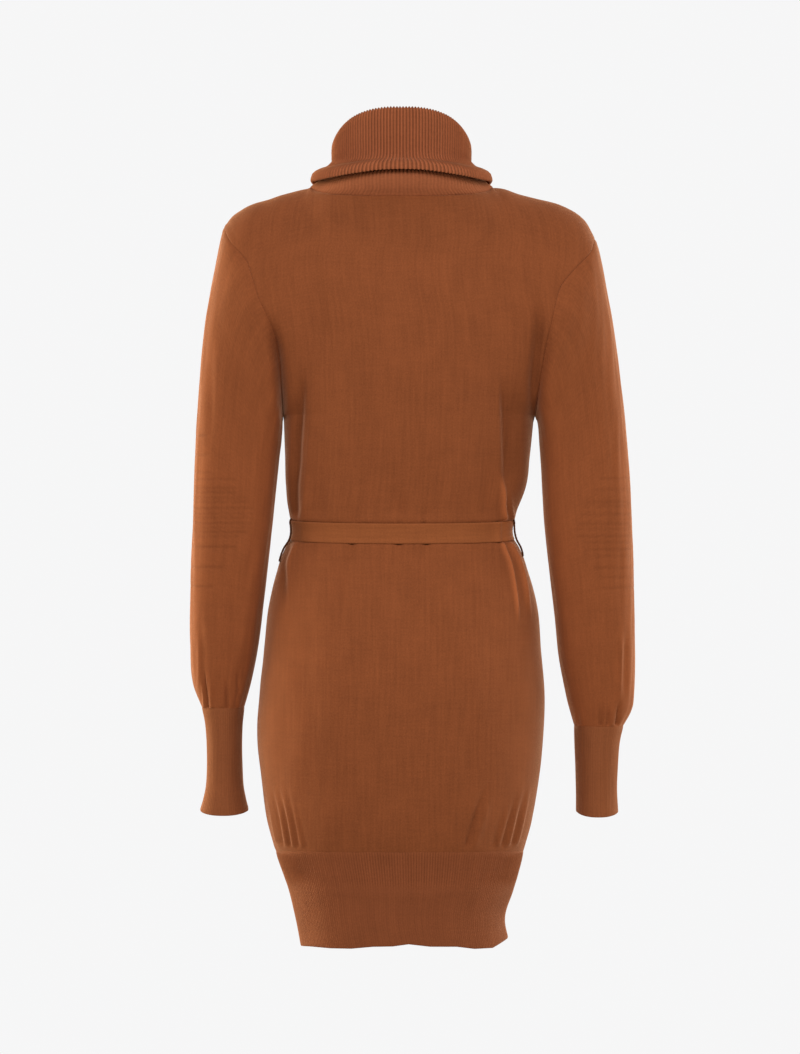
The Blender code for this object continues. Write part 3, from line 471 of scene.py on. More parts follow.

# Painted highlights on the skirt sides and on the outer and inner lines of the sleeves, painted light on the
# lower sleeves, painted shade across the shoulders
PAINTED_SIDE_HIGHLIGHT, PAINTED_OUTER_HIGHLIGHT, PAINTED_INNER_LIGHT, PAINTED_LOWER_LIGHT, PAINTED_SHOULDER_SHADE = 0.18, 0.09, 0.26, 0.08, 0.10
SIDE_HIGHLIGHT_FROM, SIDE_HIGHLIGHT_FADE = 30, 22  # distances from a side seam
LOWER_LIGHT_FROM, LOWER_LIGHT_FADE = -200, 120  # heights
SHOULDER_FROM, SHOULDER_FADE = -90, 60
BAND_SHARE_OF_HIGHLIGHT, LOWER_BAND_DARKENING = 0.7, 0.05  # the band's share of the painted side highlight; darker over the band's lower part

# The crease under each arm: where it starts, how soon it is full, how wide and how sharp it is
CREVICE_TOP, CREVICE_FADE, CREVICE_WIDTH, CREVICE_POWER = -135.0, 60.0, 6.5, 1.6
CREVICE_DEPTH = {LEFT: 19.0, RIGHT: 9.0}
SASH_BLOUSE = 1.9  # how far the cloth swells out above and below the sash
BLOUSE_AT, BLOUSE_TO_SASH, BLOUSE_AWAY = 2.6, 1.6, 7.0  # where, and its reach to either side
SEAM_FOLDS, SEAM_FADE = 0.35, 6.0  # share of a fold that is left at a seam, and how soon it is whole
SIDE_FADE = 7.0  # how soon a fold is whole away from a side seam
SWELL_AT, SWELL_WIDTH = 3.2, 1.6  # the cloth's swell beside an armhole seam
PANEL_SWELL, SLEEVE_SWELL = 0.45, 0.5
NECK_SWELL, NECK_SWELL_AT, NECK_SWELL_WIDTH = 0.5, 2.4, 1.4
FRONT_START = 200  # sets the front's slow unevenness apart from the back's

# ---- colour and light ----
KNIT = (0.181, 0.0486, 0.0143)
RIB = (0.172, 0.0470, 0.0155)
COLLAR = (0.232, 0.0660, 0.0232)
CUFF_COLOUR = (0.188, 0.0555, 0.0182)
SASH = (0.208, 0.0590, 0.0168)
THREAD_COLOUR = (0.060, 0.018, 0.006)
SHEEN_TINT = (1.0, 0.50, 0.26)
WALE, COURSE = 1.7, 1.35  # stitch pitch across and up
RIB_PITCH = 2.7
COLLAR_STAND = 26.0  # how much of the collar shows below its free edge, with shallower ribs
# Unevenness drawn out along the wales and the courses. columns: marks per metre across and down, strength
STREAKS = [(300.0, 16.0, 0.32), (30.0, 330.0, 0.14)]
# Painted shade on the body, darker toward the hem band.
# columns: height above the band where it starts, and where it is full, change of shade
PAINTED_HEM_SHADE = [(200.0, 90.0, 0.04), (50.0, 0.0, 0.08)]
ROUGHNESS, SPECULAR, SHEEN, SHEEN_ROUGHNESS = 0.95, 0.06, 0.45, 0.30
STITCH_DEPTH = 0.5
CROWN_SHARE, STITCH_SHARE = 0.65, 0.35  # of the relief
# stitch grooves are painted darker and crowns lighter, as shade and light on the relief
RELIEF_MIDDLE, PAINTED_GROOVE_SHADE = 0.6, 0.06
# Unevenness. size, detail, strength
WOBBLE, CLOUD, FLECK = (160.0, 1.0, 0.35), (28.0, 4.0, 0.30), (520.0, 2.0, 0.44)
CLOUD_ROUGHNESS = 0.65
BACKDROP = 0.923

CAMERA = (1.725, 4000.0, -385.25)
CAMERA_REACH = 1054 * 1.15  # what the picture's longer side takes in at the dress's own distance
SENSOR = 36.0
FLOOR_HEIGHT, FLOOR_HALF = -1500.0, 3000.0


# ---- curves and surfaces ----

def smooth(table, at, column):
    """Values of a table's column at keys, by a cubic through the rows; keys rise."""
    keys = np.array([row[0] for row in table], float)
    values = np.array([row[column] for row in table], float)
    return cubic(keys, values, at)


def cubic(keys, values, at):
    """Values at keys by a cubic through rows of numbers or points."""
    slopes = np.gradient(values, keys, axis=0)
    at = np.clip(np.asarray(at, float), keys[0], keys[-1])
    i = np.clip(np.searchsorted(keys, at, side="right") - 1, 0, len(keys) - 2)
    span = keys[i + 1] - keys[i]
    t = (at - keys[i]) / span
    more = values.ndim - 1
    t, span = t.reshape(t.shape + (1,) * more), span.reshape(span.shape + (1,) * more)
    rise = t * t * (3 - 2 * t)
    start, end = t * (1 - t) ** 2, t * t * (t - 1)
    return values[i] * (1 - rise) + values[i + 1] * rise + span * (slopes[i] * start + slopes[i + 1] * end)


def unit(vector):
    return vector / np.maximum(np.linalg.norm(vector, axis=-1, keepdims=True), 1e-12)


def squared(angle, power):
    """Sine and cosine of a squared circle."""
    s, c = np.sin(angle), np.cos(angle)
    return np.sign(s) * np.abs(s) ** (2 / power), np.sign(c) * np.abs(c) ** (2 / power)


def ease(t):
    t = np.clip(t, 0, 1)
    return t * t * (3 - 2 * t)


def bell(at, middle, width):
    """A soft hump of height 1."""
    return np.exp(-(((at - middle) / width) ** 2))


def settle(distance):
    """How much of a fold is left at a distance from a seam."""
    return SEAM_FOLDS + (1 - SEAM_FOLDS) * ease(distance / SEAM_FADE)


def beside_seam(distance):
    """1 at a side seam, 0 farther in."""
    return ease((SIDE_HIGHLIGHT_FROM - distance) / SIDE_HIGHLIGHT_FADE)


def on_shoulder(height):
    return ease((height - SHOULDER_FROM) / SHOULDER_FADE)


def points_of(x, y, z):
    return np.stack(np.broadcast_arrays(x, y, z), -1).astype(float)


def lower_surface(height, share, side):
    """Points of the body below the armholes."""
    left, right = smooth(BODY, height, 1), smooth(BODY, height, 2)
    depth = smooth(BODY, height, 4 if side == BACK else 3)
    across, deep = squared(share * np.pi / 2, BODY_ROUND)
    x = (left + right) / 2 + (left - right) / 2 * across
    z = height + 0 * deep
    if side == BACK:
        z = z - SASH_DIP * bell(height, SASH_MIDDLE, DIP_REACH) * deep
    down = np.clip((height - BAND_SEAM) / (HEM - BAND_SEAM), 0, 1)
    if side == BACK:
        z = z + smooth(BACK_RISE, height, 1) * deep
    waves = HEM_WAVES[side]
    z = z + down**3 * np.interp(x, [w[0] for w in waves], [w[1] for w in waves])
    return points_of(x, depth * deep, z)


def armhole_point(hand, side, turn):
    low, high = ARMHOLE[hand]
    z = (low + high) / 2 + (high - low) / 2 * np.cos(turn)
    key = np.interp(z, (low, high), (ARMHOLE_LINE[0][0], ARMHOLE_LINE[-1][0]))
    y = RIDGE_Y * (1 + np.cos(turn)) / 2 + ARMHOLE_DEPTH[side] * np.sin(turn)
    return points_of(hand * smooth(ARMHOLE_LINE, key, LINE_COLUMN[hand, side]), y, z)


def neck_point(angle):
    depth = np.where(np.cos(angle) > -1e-9, NECK_DEPTH[BACK], -NECK_DEPTH[FRONT])
    turned = np.abs(np.degrees(np.arctan2(np.sin(angle), np.cos(angle))))
    height = smooth(NECKLINE, turned, 1)
    return points_of(NECK_HALF_WIDTH * np.sin(angle), RIDGE_Y + depth * np.cos(angle), height)


def top_line(share, side):
    """Points of a panel's top edge: shoulder seam, neckline, shoulder seam."""
    angle = np.clip(share / NECK_SHARE, -1, 1) * np.pi / 2
    neck = neck_point(angle if side == BACK else np.pi - angle)
    along = np.clip((np.abs(share) - NECK_SHARE) / (1 - NECK_SHARE), 0, 1)
    result = neck.copy()
    for hand in (LEFT, RIGHT):
        end = ARMHOLE_LINE[-1][LINE_COLUMN[hand, side]]
        distance = NECK_HALF_WIDTH + (end - NECK_HALF_WIDTH) * along
        shoulder = points_of(hand * distance, RIDGE_Y, smooth(RIDGE, distance, 1 if hand == LEFT else 2))
        mine = (share * hand) > NECK_SHARE
        result[mine] = shoulder[mine]
    return result


def upper_surface(turn, share, side):
    """Points of the body between the armholes, one row for each turn."""
    ends = {hand: armhole_point(hand, side, turn)[:, None] for hand in (LEFT, RIGHT)}
    tops = {hand: top_line(np.array([float(hand)]), side)[0] for hand in (LEFT, RIGHT)}
    up = ((1 + np.cos(turn)) / 2)[:, None]
    sharp = top_line(share, side)
    spread = np.linspace(-2, 2, 17)
    soft = np.zeros_like(sharp)
    for step in spread:
        beside = np.clip(share + step * TOP_SOFTENING * (1 - share**4), -1, 1)
        soft += top_line(beside, side) * math.exp(-step * step)
    soft /= np.exp(-spread * spread).sum()
    mix = (up**TOP_SHARPNESS)[..., None]
    top = sharp * mix + soft * (1 - mix)
    top_middle = (tops[LEFT][0] + tops[RIGHT][0]) / 2
    top_half = (tops[LEFT][0] - tops[RIGHT][0]) / 2
    pinch = UNDERARM_FLARE * (1 - up) ** 4 * (1 - np.abs(share) ** FLARE_SHARPNESS)
    middle = (ends[LEFT][..., 0] + ends[RIGHT][..., 0]) / 2
    half = (ends[LEFT][..., 0] - ends[RIGHT][..., 0]) / 2 - pinch
    toward = (share + 1) / 2
    end_z = ends[RIGHT][..., 2] * (1 - toward) + ends[LEFT][..., 2] * toward
    top_z = tops[RIGHT][2] * (1 - toward) + tops[LEFT][2] * toward
    z = end_z + up**ROW_RISE * (top[..., 2] - top_z)
    neck = top_line(np.array([0.0]), side)[0]
    neck_above = neck[2] - (tops[LEFT][2] + tops[RIGHT][2]) / 2
    centre_z = (ends[LEFT][..., 2] + ends[RIGHT][..., 2]) / 2 + up**ROW_RISE * neck_above
    column = 2 if side == BACK else 1
    centre_y = smooth(MIDDLE, centre_z, column) + up**NECK_PULL * (neck[1] - smooth(MIDDLE, neck[2], column))
    end_y = (ends[LEFT][..., 1] + ends[RIGHT][..., 1]) / 2
    # the lower sections' own line, as far round as the armhole
    reach = np.arccos(np.clip(end_y / centre_y, 0, 1) ** (BODY_ROUND / 2))
    sine, cosine = squared(share * reach, BODY_ROUND)
    sine = sine / squared(reach, BODY_ROUND)[0]
    across = (1 - up) * sine + up * (top[..., 0] - top_middle) / top_half
    top_deep = (top[..., 1] - RIDGE_Y) / (neck[1] - RIDGE_Y)
    y = (1 - up) * centre_y * cosine + up * (end_y + (centre_y - end_y) * top_deep)
    return points_of(middle + half * across, y, z)


def steps(start, end, spacing, edges=(0.0, 0.0)):
    """Places from start to end, with closer ones at the named edges."""
    count = max(2, int(round(abs(end - start) / spacing)) + 1)
    places = list(np.linspace(start, end, count))
    way = math.copysign(1, end - start)
    for d in EDGE_STEPS:
        if edges[0]:
            places.append(start + way * d * edges[0])
        if edges[1]:
            places.append(end - way * d * edges[1])
    return np.array(sorted(set(np.round(places, 4)), reverse=end < start))


def distances(points, axis):
    """How far each point of a grid is along its row or column from the first and last, in the same shape."""
    hops = np.linalg.norm(np.diff(points, axis=axis), axis=-1)
    zero = np.zeros_like(np.take(hops, [0], axis=axis))
    run = np.concatenate([zero, np.cumsum(hops, axis=axis)], axis)
    return run, np.take(run, [-1], axis=axis) - run


def sheet_normals(grid, before, after, below, above):
    wide = np.concatenate([before[:, None], grid, after[:, None]], 1)
    tall = np.concatenate([below[None], grid, above[None]], 0)
    return unit(np.cross(wide[:, 2:] - wide[:, :-2], tall[2:] - tall[:-2]))


def fold_field(x, z, folds):
    """Sum of listed soft ridges and troughs at places on the cloth."""
    total = np.zeros_like(x)
    for height, to_right, to_left, fade_in, fade_out, line in folds:
        line = np.array(line, float)
        if len(line) > 2:
            keys = np.arange(len(line), dtype=float)
            line = cubic(keys, line, np.linspace(0, len(line) - 1, 4 * len(line)))
        lengths = np.linalg.norm(np.diff(line, axis=0), axis=1)
        starts = np.concatenate([[0], np.cumsum(lengths)])
        best = np.full_like(x, np.inf)
        offset, along = np.zeros_like(x), np.zeros_like(x)
        for a, b, start, length in zip(line[:-1], line[1:], starts, lengths):
            way = (b - a) / length
            px, pz = x - a[0], z - a[1]
            t = np.clip(px * way[0] + pz * way[1], 0, length)
            dx, dz = px - t * way[0], pz - t * way[1]
            d = np.hypot(dx, dz)
            nearer = d < best
            best = np.where(nearer, d, best)
            offset = np.where(nearer, dx, offset)
            along = np.where(nearer, (start + t) / starts[-1], along)
        width = np.where(offset < 0, to_right, to_left)
        fade = ease(along / max(fade_in, 1e-6)) * ease((1 - along) / max(fade_out, 1e-6))
        total += height * fade * bell(best, 0, width)
    return total


def ripple(x, z, scale=1.0):
    total = 0
    for height, across, down, start in RIPPLES:
        sway = 1.3 * np.sin(2 * np.pi * z / down + 2 * start)
        total = total + scale * height * np.sin(2 * np.pi * x / across + start + sway)
    return total


def crevice(distance, seam_z, turn, hand):
    """How far cloth sinks toward the armhole seam, deep under the arm and gone at the shoulder."""
    low = ease((CREVICE_TOP - seam_z) / CREVICE_FADE) * ease(np.abs(np.sin(turn)) / 0.4)
    return CREVICE_DEPTH[hand] * low * np.exp(-((distance / CREVICE_WIDTH) ** CREVICE_POWER))


def rolled(distance, depth, reach=1.9):
    """How far the cloth's faces draw in as they near an edge."""
    t = np.clip(1 - distance / reach, 0, 1)
    return depth * t * t


# ---- meshes ----

def add_shell(name, outer, inner, u, v, closed, material, marks=0.0):
    """A closed wall between two grids.

    u and v are the knit's own measures, with one more column if closed; the last argument holds painted light
    and shade, and some tone of the cloth's own, as changes of shade.
    """
    rows, cols = outer.shape[:2]
    u, v = (np.broadcast_to(measure, (rows, cols + closed)) for measure in (u, v))
    marks = np.broadcast_to(marks, (rows, cols))
    count = rows * cols
    spans = cols if closed else cols - 1
    i, j = np.meshgrid(np.arange(rows - 1), np.arange(spans), indexing="ij")
    quads, maps, tags = [], [], []

    def corners(pairs):
        places = [deep * count + a * cols + b % cols for a, b, deep in pairs]
        knit = [np.stack([u[a, b], v[a, b]], -1) for a, b, _ in pairs]
        quads.append(np.stack(places, -1).reshape(-1, 4))
        maps.append(np.stack(knit, -2).reshape(-1, 4, 2))
        tags.append(np.stack([marks[a, b % cols] for a, b, _ in pairs], -1).reshape(-1, 4))

    around = [(i, j), (i, j + 1), (i + 1, j + 1), (i + 1, j)]
    corners([(a, b, 0) for a, b in around])
    corners([(a, b, 1) for a, b in around[::-1]])
    ends = np.arange(spans)
    for row in (0, rows - 1):
        r = np.full_like(ends, row)
        rim = [(r, ends, 0), (r, ends, 1), (r, ends + 1, 1), (r, ends + 1, 0)]
        corners(rim if row == 0 else rim[::-1])
    if not closed:
        down = np.arange(rows - 1)
        for col in (0, cols - 1):
            c = np.full_like(down, col)
            rim = [(down, c, 0), (down + 1, c, 0), (down + 1, c, 1), (down, c, 1)]
            corners(rim if col == 0 else rim[::-1])
    points = np.concatenate([outer.reshape(-1, 3), inner.reshape(-1, 3)])
    quads, maps, tags = (np.concatenate(part) for part in (quads, maps, tags))
    return make_piece(name, points * MM, quads, maps, material, tags)


def add_wall(name, grid, normals, lift, roll, wall, inner_share, shift, *rest):
    """A wall whose outer face stands off a grid by lift, and whose faces draw in by roll at the edges."""
    outer = grid + normals * (lift - roll)[..., None]
    inner = grid + normals * (lift - wall + inner_share * roll)[..., None]
    return add_shell(name, outer + shift, inner + shift, *rest)


def make_piece(name, points, quads, maps, material, tags=None):
    corners = points[quads]
    volume = 0
    for k in (1, 2):
        volume += np.sum(corners[:, 0] * np.cross(corners[:, k], corners[:, k + 1]))
    tags = np.zeros(quads.shape) if tags is None else tags
    if volume < 0:
        quads, maps, tags = quads[:, ::-1], maps[:, ::-1], tags[:, ::-1]
    mesh = bpy.data.meshes.new(name)
    mesh.vertices.add(len(points))
    mesh.vertices.foreach_set("co", points.astype(np.float32).ravel())
    mesh.loops.add(quads.size)
    mesh.loops.foreach_set("vertex_index", quads.astype(np.int32).ravel())
    mesh.polygons.add(len(quads))
    mesh.polygons.foreach_set("loop_start", np.arange(0, quads.size, 4, dtype=np.int32))
    mesh.polygons.foreach_set("loop_total", np.full(len(quads), 4, np.int32))
    mesh.polygons.foreach_set("use_smooth", np.ones(len(quads), bool))
    # the second UV layer carries painted light and shade
    for layer_name, values in (("knit", maps * MM), ("marks", np.stack([tags, 0 * tags], -1))):
        layer = mesh.uv_layers.new(name=layer_name)
        layer.data.foreach_set("uv", values.astype(np.float32).ravel())
    mesh.update(calc_edges=True)
    mesh.validate()
    mesh.materials.append(material)
    piece = bpy.data.objects.new(name + "_cloth", mesh)
    bpy.context.scene.collection.objects.link(piece)
    return piece


def add_lump(name, rings, material):
    """A closed body through rings of points that shrink to almost nothing at both ends."""
    rows, cols = rings.shape[:2]
    i, j = np.meshgrid(np.arange(rows - 1), np.arange(cols), indexing="ij")
    k = (j + 1) % cols
    quads = np.stack([i * cols + j, i * cols + k, (i + 1) * cols + k, (i + 1) * cols + j], -1).reshape(-1, 4)
    caps = []
    for row, flip in ((0, True), (rows - 1, False)):
        for n in range(1, cols // 2):
            cap = [row * cols + n - 1, row * cols + n, row * cols + cols - n - 1, row * cols + cols - n]
            caps.append(cap[::-1] if flip else cap)
    quads = np.concatenate([quads, np.array(caps)])
    points = rings.reshape(-1, 3)
    maps = np.stack([points[:, 0], points[:, 2]], -1)[quads]
    return make_piece(name, points * MM, quads, maps, material)


# ---- material ----

def knit_material(name, colour, groove, mottle, hem_shade=()):
    """Rows of stitches as a fine relief, with a slightly uneven shade, and painted light and shade laid over
    it.
    """
    material = bpy.data.materials.new(name)
    material.use_nodes = True
    tree = material.node_tree
    shader = tree.nodes["Principled BSDF"]
    shader.inputs["Roughness"].default_value = ROUGHNESS
    shader.inputs["Sheen Weight"].default_value = SHEEN
    shader.inputs["Sheen Roughness"].default_value = SHEEN_ROUGHNESS
    shader.inputs["Sheen Tint"].default_value = (*SHEEN_TINT, 1)
    shader.inputs["Specular IOR Level"].default_value = SPECULAR

    def node(kind, **fields):
        made = tree.nodes.new(kind)
        for field, value in fields.items():
            setattr(made, field, value)
        return made

    def maths(operation, a, b=None, clamp=False):
        made = node("ShaderNodeMath", operation=operation, use_clamp=clamp)
        for socket, value in zip(made.inputs, (a, b)):
            if isinstance(value, (int, float)):
                socket.default_value = value
            elif value is not None:
                tree.links.new(value, socket)
        return made.outputs[0]

    def uneven(vector, size, detail, strength, roughness=0.5):
        """Noise around nought."""
        made = node("ShaderNodeTexNoise")
        made.inputs["Scale"].default_value = size
        made.inputs["Detail"].default_value = detail
        made.inputs["Roughness"].default_value = roughness
        tree.links.new(vector, made.inputs["Vector"])
        return maths("MULTIPLY", maths("SUBTRACT", made.outputs[0], 0.5), strength)

    def split(uv):
        made = node("ShaderNodeSeparateXYZ")
        tree.links.new(uv, made.inputs[0])
        return made.outputs

    place = node("ShaderNodeUVMap", uv_map="knit").outputs["UV"]
    parts = split(place)
    wale = maths("ADD", maths("DIVIDE", parts["X"], WALE * MM), uneven(place, *WOBBLE))
    leg = maths("MULTIPLY", maths("ABSOLUTE", maths("SUBTRACT", maths("FRACT", wale), 0.5)), 2.0)
    course = maths("ADD", maths("DIVIDE", parts["Y"], COURSE * MM), maths("MULTIPLY", leg, 0.9))
    wave = maths("SINE", maths("MULTIPLY", course, 2 * math.pi))
    stitch = maths("MULTIPLY", maths("ADD", wave, 1.0), 0.5)
    crown = maths("SUBTRACT", 1.0, maths("POWER", leg, 2.0))
    relief = maths("ADD", maths("MULTIPLY", crown, CROWN_SHARE), maths("MULTIPLY", stitch, STITCH_SHARE))
    bump = node("ShaderNodeBump")
    bump.inputs["Strength"].default_value = groove
    bump.inputs["Distance"].default_value = STITCH_DEPTH * MM
    tree.links.new(relief, bump.inputs["Height"])
    tree.links.new(bump.outputs["Normal"], shader.inputs["Normal"])

    size, detail, strength = CLOUD
    cloud = uneven(place, size, detail, strength * mottle, CLOUD_ROUGHNESS)
    size, detail, strength = FLECK
    shade = maths("ADD", cloud, uneven(place, size, detail, strength * mottle))
    # painted shade in the stitch grooves, painted light on the crowns
    painted_relief_shade = maths("MULTIPLY", maths("SUBTRACT", relief, RELIEF_MIDDLE), PAINTED_GROOVE_SHADE)
    shade = maths("ADD", shade, painted_relief_shade)
    for across, down, strength in STREAKS:
        drawn = node("ShaderNodeVectorMath", operation="MULTIPLY")
        drawn.inputs[1].default_value = (across, down, 0)
        tree.links.new(place, drawn.inputs[0])
        shade = maths("ADD", shade, uneven(drawn.outputs[0], 1.0, 2.0, strength * mottle))
    # painted light and shade from the mesh's second UV layer
    shade = maths("ADD", shade, split(node("ShaderNodeUVMap", uv_map="marks").outputs["UV"])["X"])
    # painted shade toward the hem band
    for reach, full, strength in hem_shade:
        low = maths("DIVIDE", maths("SUBTRACT", reach * MM, parts["Y"]), (reach - full) * MM, True)
        shade = maths("SUBTRACT", shade, maths("MULTIPLY", low, strength))
    shade = maths("ADD", shade, 1.0)
    tint = node("ShaderNodeVectorMath", operation="SCALE")
    tint.inputs[0].default_value = colour
    tree.links.new(shade, tint.inputs["Scale"])
    tree.links.new(tint.outputs[0], shader.inputs["Base Color"])
    return material


def plain_material(name, colour, roughness):
    material = bpy.data.materials.new(name)
    material.use_nodes = True
    shader = material.node_tree.nodes["Principled BSDF"]
    shader.inputs["Base Color"].default_value = (*colour, 1)
    shader.inputs["Roughness"].default_value = roughness
    return material


KNIT_CLOTH = knit_material("knit_cloth", KNIT, 0.35, 1.0)
BODY_CLOTH = knit_material("body_cloth", KNIT, 0.35, 1.0, PAINTED_HEM_SHADE)
RIB_CLOTH = knit_material("rib_cloth", RIB, 0.3, 0.8)
CUFF_CLOTH = knit_material("cuff_cloth", CUFF_COLOUR, 0.3, 0.8)
COLLAR_CLOTH = knit_material("collar_cloth", COLLAR, 0.3, 0.8)
SASH_CLOTH = knit_material("sash_cloth", SASH, 0.3, 0.8)
THREAD = knit_material("thread", THREAD_COLOUR, 0.2, 0.6)


# ---- pieces ----

RIB_CROWN, RIB_FURROW = 0.55, 0.25
CREST_MIDDLE = 0.1  # where a rib's shade turns from dark to light


def rib_wave(turns):
    """A one-by-one rib: broad crowns and narrow furrows; turns counts the ribs."""
    wave = np.cos(2 * np.pi * turns)
    return RIB_CROWN * wave - RIB_FURROW * (1 - wave) / 2


def rib_shade(turns, strength):
    """Furrows between ribs are in shade; crowns catch the light."""
    return strength * (np.cos(2 * np.pi * turns) - CREST_MIDDLE)


def edge_normal(hand, side, turn):
    low, high = ARMHOLE[hand]
    up = (1 + np.cos(turn)) / 2
    y, z = np.sin(turn) / ARMHOLE_DEPTH[side], np.cos(turn) / ((high - low) / 2)
    flat = np.hypot(y, z)
    return unit(points_of(hand * 1.6 * up**2, y / flat, z / flat))


def neck_normal(angle):
    swing = np.abs(np.cos(angle))
    outward, upward = 0.5 + 0.4 * swing, 0.87 - 0.43 * swing
    return unit(points_of(outward * np.sin(angle), outward * np.cos(angle), upward))


EDGE_SHARES = (0.0022, 0.0055, 0.018, 0.029)  # closer columns beside each side edge
PANEL_SHARES = list(np.linspace(-1, 1, 173)) + [side * (1 - d) for side in (-1, 1) for d in EDGE_SHARES]
PANEL_SHARES = np.array(sorted(set(np.round(PANEL_SHARES, 5))))
NORMAL_REACH, COLLAR_NORMAL_REACH = 5.0, 4.0  # how far a seam's own direction reaches into the cloth
LOWER_HEIGHTS = np.concatenate([
    steps(BAND_SEAM, -700.0, 2.6, (1.0, 0.0))[:-1],
    steps(-700.0, -446.0, 3.8)[:-1],
    steps(-446.0, -362.0, 2.2)[:-1],
    steps(-362.0, LAST_LOWER, 3.6),
])
CAP_TURNS = np.pi * (1 - np.linspace(0, 1, 63))
UNDERARM = len(LOWER_HEIGHTS)


def panel_grid(side):
    lower = lower_surface(LOWER_HEIGHTS[:, None], PANEL_SHARES[None, :], side)
    return np.concatenate([lower, upper_surface(CAP_TURNS, PANEL_SHARES[None, :], side)])


def panel_normals(grid, other, side):
    before, after = 2 * grid[:, 0] - grid[:, 1], 2 * grid[:, -1] - grid[:, -2]
    before[:UNDERARM], after[:UNDERARM] = other[:UNDERARM, 1], other[:UNDERARM, -2]
    above = 2 * grid[-1] - grid[-2]
    shoulders = np.abs(PANEL_SHARES) >= NECK_SHARE
    above[shoulders] = other[-2, shoulders]
    normals = sheet_normals(grid, before, after, 2 * grid[0] - grid[1], above) * -side
    normals[:UNDERARM, [0, -1], 1] = 0
    normals[-1, shoulders, 1] = 0
    normals = unit(normals)
    from_right, from_left = distances(grid, 1)
    from_bottom, from_top = distances(grid, 0)
    for hand, near in ((LEFT, from_left), (RIGHT, from_right)):
        edge = edge_normal(hand, side, CAP_TURNS)[:, None]
        weight = bell(near[UNDERARM:], 0, NORMAL_REACH)[..., None]
        normals[UNDERARM:] = normals[UNDERARM:] * (1 - weight) + edge * weight
    angle = np.clip(PANEL_SHARES / NECK_SHARE, -1, 1) * np.pi / 2
    edge = neck_normal(angle if side == BACK else np.pi - angle)[None]
    weight = (bell(from_top, 0, NORMAL_REACH) * (~shoulders)[None])[..., None]
    normals = normals * (1 - weight) + edge * weight
    return unit(normals), (from_right, from_left, from_bottom, from_top)


def add_panels():
    grids = {side: panel_grid(side) for side in (BACK, FRONT)}
    made = {}
    at_neck = np.abs(PANEL_SHARES) < NECK_SHARE
    above_arms = (np.arange(len(LOWER_HEIGHTS) + len(CAP_TURNS)) > UNDERARM)[:, None]
    flat_height = np.concatenate([LOWER_HEIGHTS, np.zeros(len(CAP_TURNS))])[:, None]
    for side, word in ((BACK, "back"), (FRONT, "front")):
        grid = grids[side]
        normals, (from_right, from_left, from_bottom, from_top) = panel_normals(grid, grids[-side], side)
        x, z = grid[..., 0], grid[..., 2]
        near_side = np.minimum(from_right, from_left)
        folds = fold_field(x, z, FOLDS[side]) + ripple(x + FRONT_START * (side == FRONT), z)
        folds *= ease(near_side / SIDE_FADE) * settle(np.minimum(from_bottom, from_top))
        under_sash = ease((z - SASH_ROWS[0] + 9) / 5) * ease((SASH_ROWS[1] + 5 - z) / 5)
        folds = np.where(folds > 0, folds * (1 - under_sash), folds)
        for beyond in (flat_height - SASH_ROWS[1], SASH_ROWS[0] - flat_height):
            reach = np.where(beyond < BLOUSE_AT, BLOUSE_TO_SASH, BLOUSE_AWAY)
            folds += SASH_BLOUSE * bell(beyond, BLOUSE_AT, reach)
        swell = PANEL_SWELL * bell(near_side, SWELL_AT, SWELL_WIDTH) * above_arms
        swell = swell + NECK_SWELL * at_neck[None] * bell(from_top, NECK_SWELL_AT, NECK_SWELL_WIDTH)
        outer = grid + normals * (folds + swell)[..., None]
        outer[..., 1] -= side * fold_field(x, z, SINKS[side]) * ease(near_side / 12.0)
        for hand, column, near in ((RIGHT, 0, from_right), (LEFT, -1, from_left)):
            sink = crevice(near[UNDERARM:], z[UNDERARM:, [column]], CAP_TURNS[:, None], hand)
            outer[UNDERARM:, :, 1] -= side * sink
        inner = outer - WALL * normals
        seam_roll = np.where(np.arange(len(grid)) < UNDERARM, 0.15, 0.5)[:, None]
        roll = seam_roll * rolled(near_side, 1.0) + rolled(from_top, 0.5) + rolled(from_bottom, 0.2)
        roll = np.minimum(roll, 0.72)
        outer = outer - normals * roll[..., None]
        inner = inner + normals * (0.6 * roll)[..., None]
        shift = np.zeros_like(grid)
        shift[: UNDERARM + 1, [0, -1], 1] = side * -SEAM_LAP / 2
        shift[-1, ~at_neck, 1] = side * -SEAM_LAP / 2
        shift[0, :, 2] = -SEAM_LAP / 2
        for column, hand in ((0, RIGHT), (-1, LEFT)):
            shift[UNDERARM:, column, 0] += hand * SEAM_LAP / 2
        shift[-1, at_neck, 2] += SEAM_LAP / 2
        middle = [len(PANEL_SHARES) // 2]
        u, v = from_right - from_right[:, middle], from_bottom[:, middle]
        # painted shade and highlight along the folds
        marks = fold_field(x, z, PAINTED_FOLD_LIGHT_AND_SHADE[side])
        # painted highlight along the skirt's sides below the sash, and painted shade across the shoulders
        marks += PAINTED_SIDE_HIGHLIGHT * beside_seam(near_side) * ease((SASH_ROWS[0] - z) / 20)
        marks -= PAINTED_SHOULDER_SHADE * on_shoulder(z)
        made["body_" + word] = add_shell(
            "body_" + word, outer + shift, inner + shift, u, v, False, BODY_CLOTH, marks)
    return made


BAND_RIBS = 132
BAND_FOLD = 44.0  # how far below its seam the band's turned-up edge ends
BAND_HEIGHTS = steps(HEM, BAND_SEAM, 3.8, (1.0, 1.0))


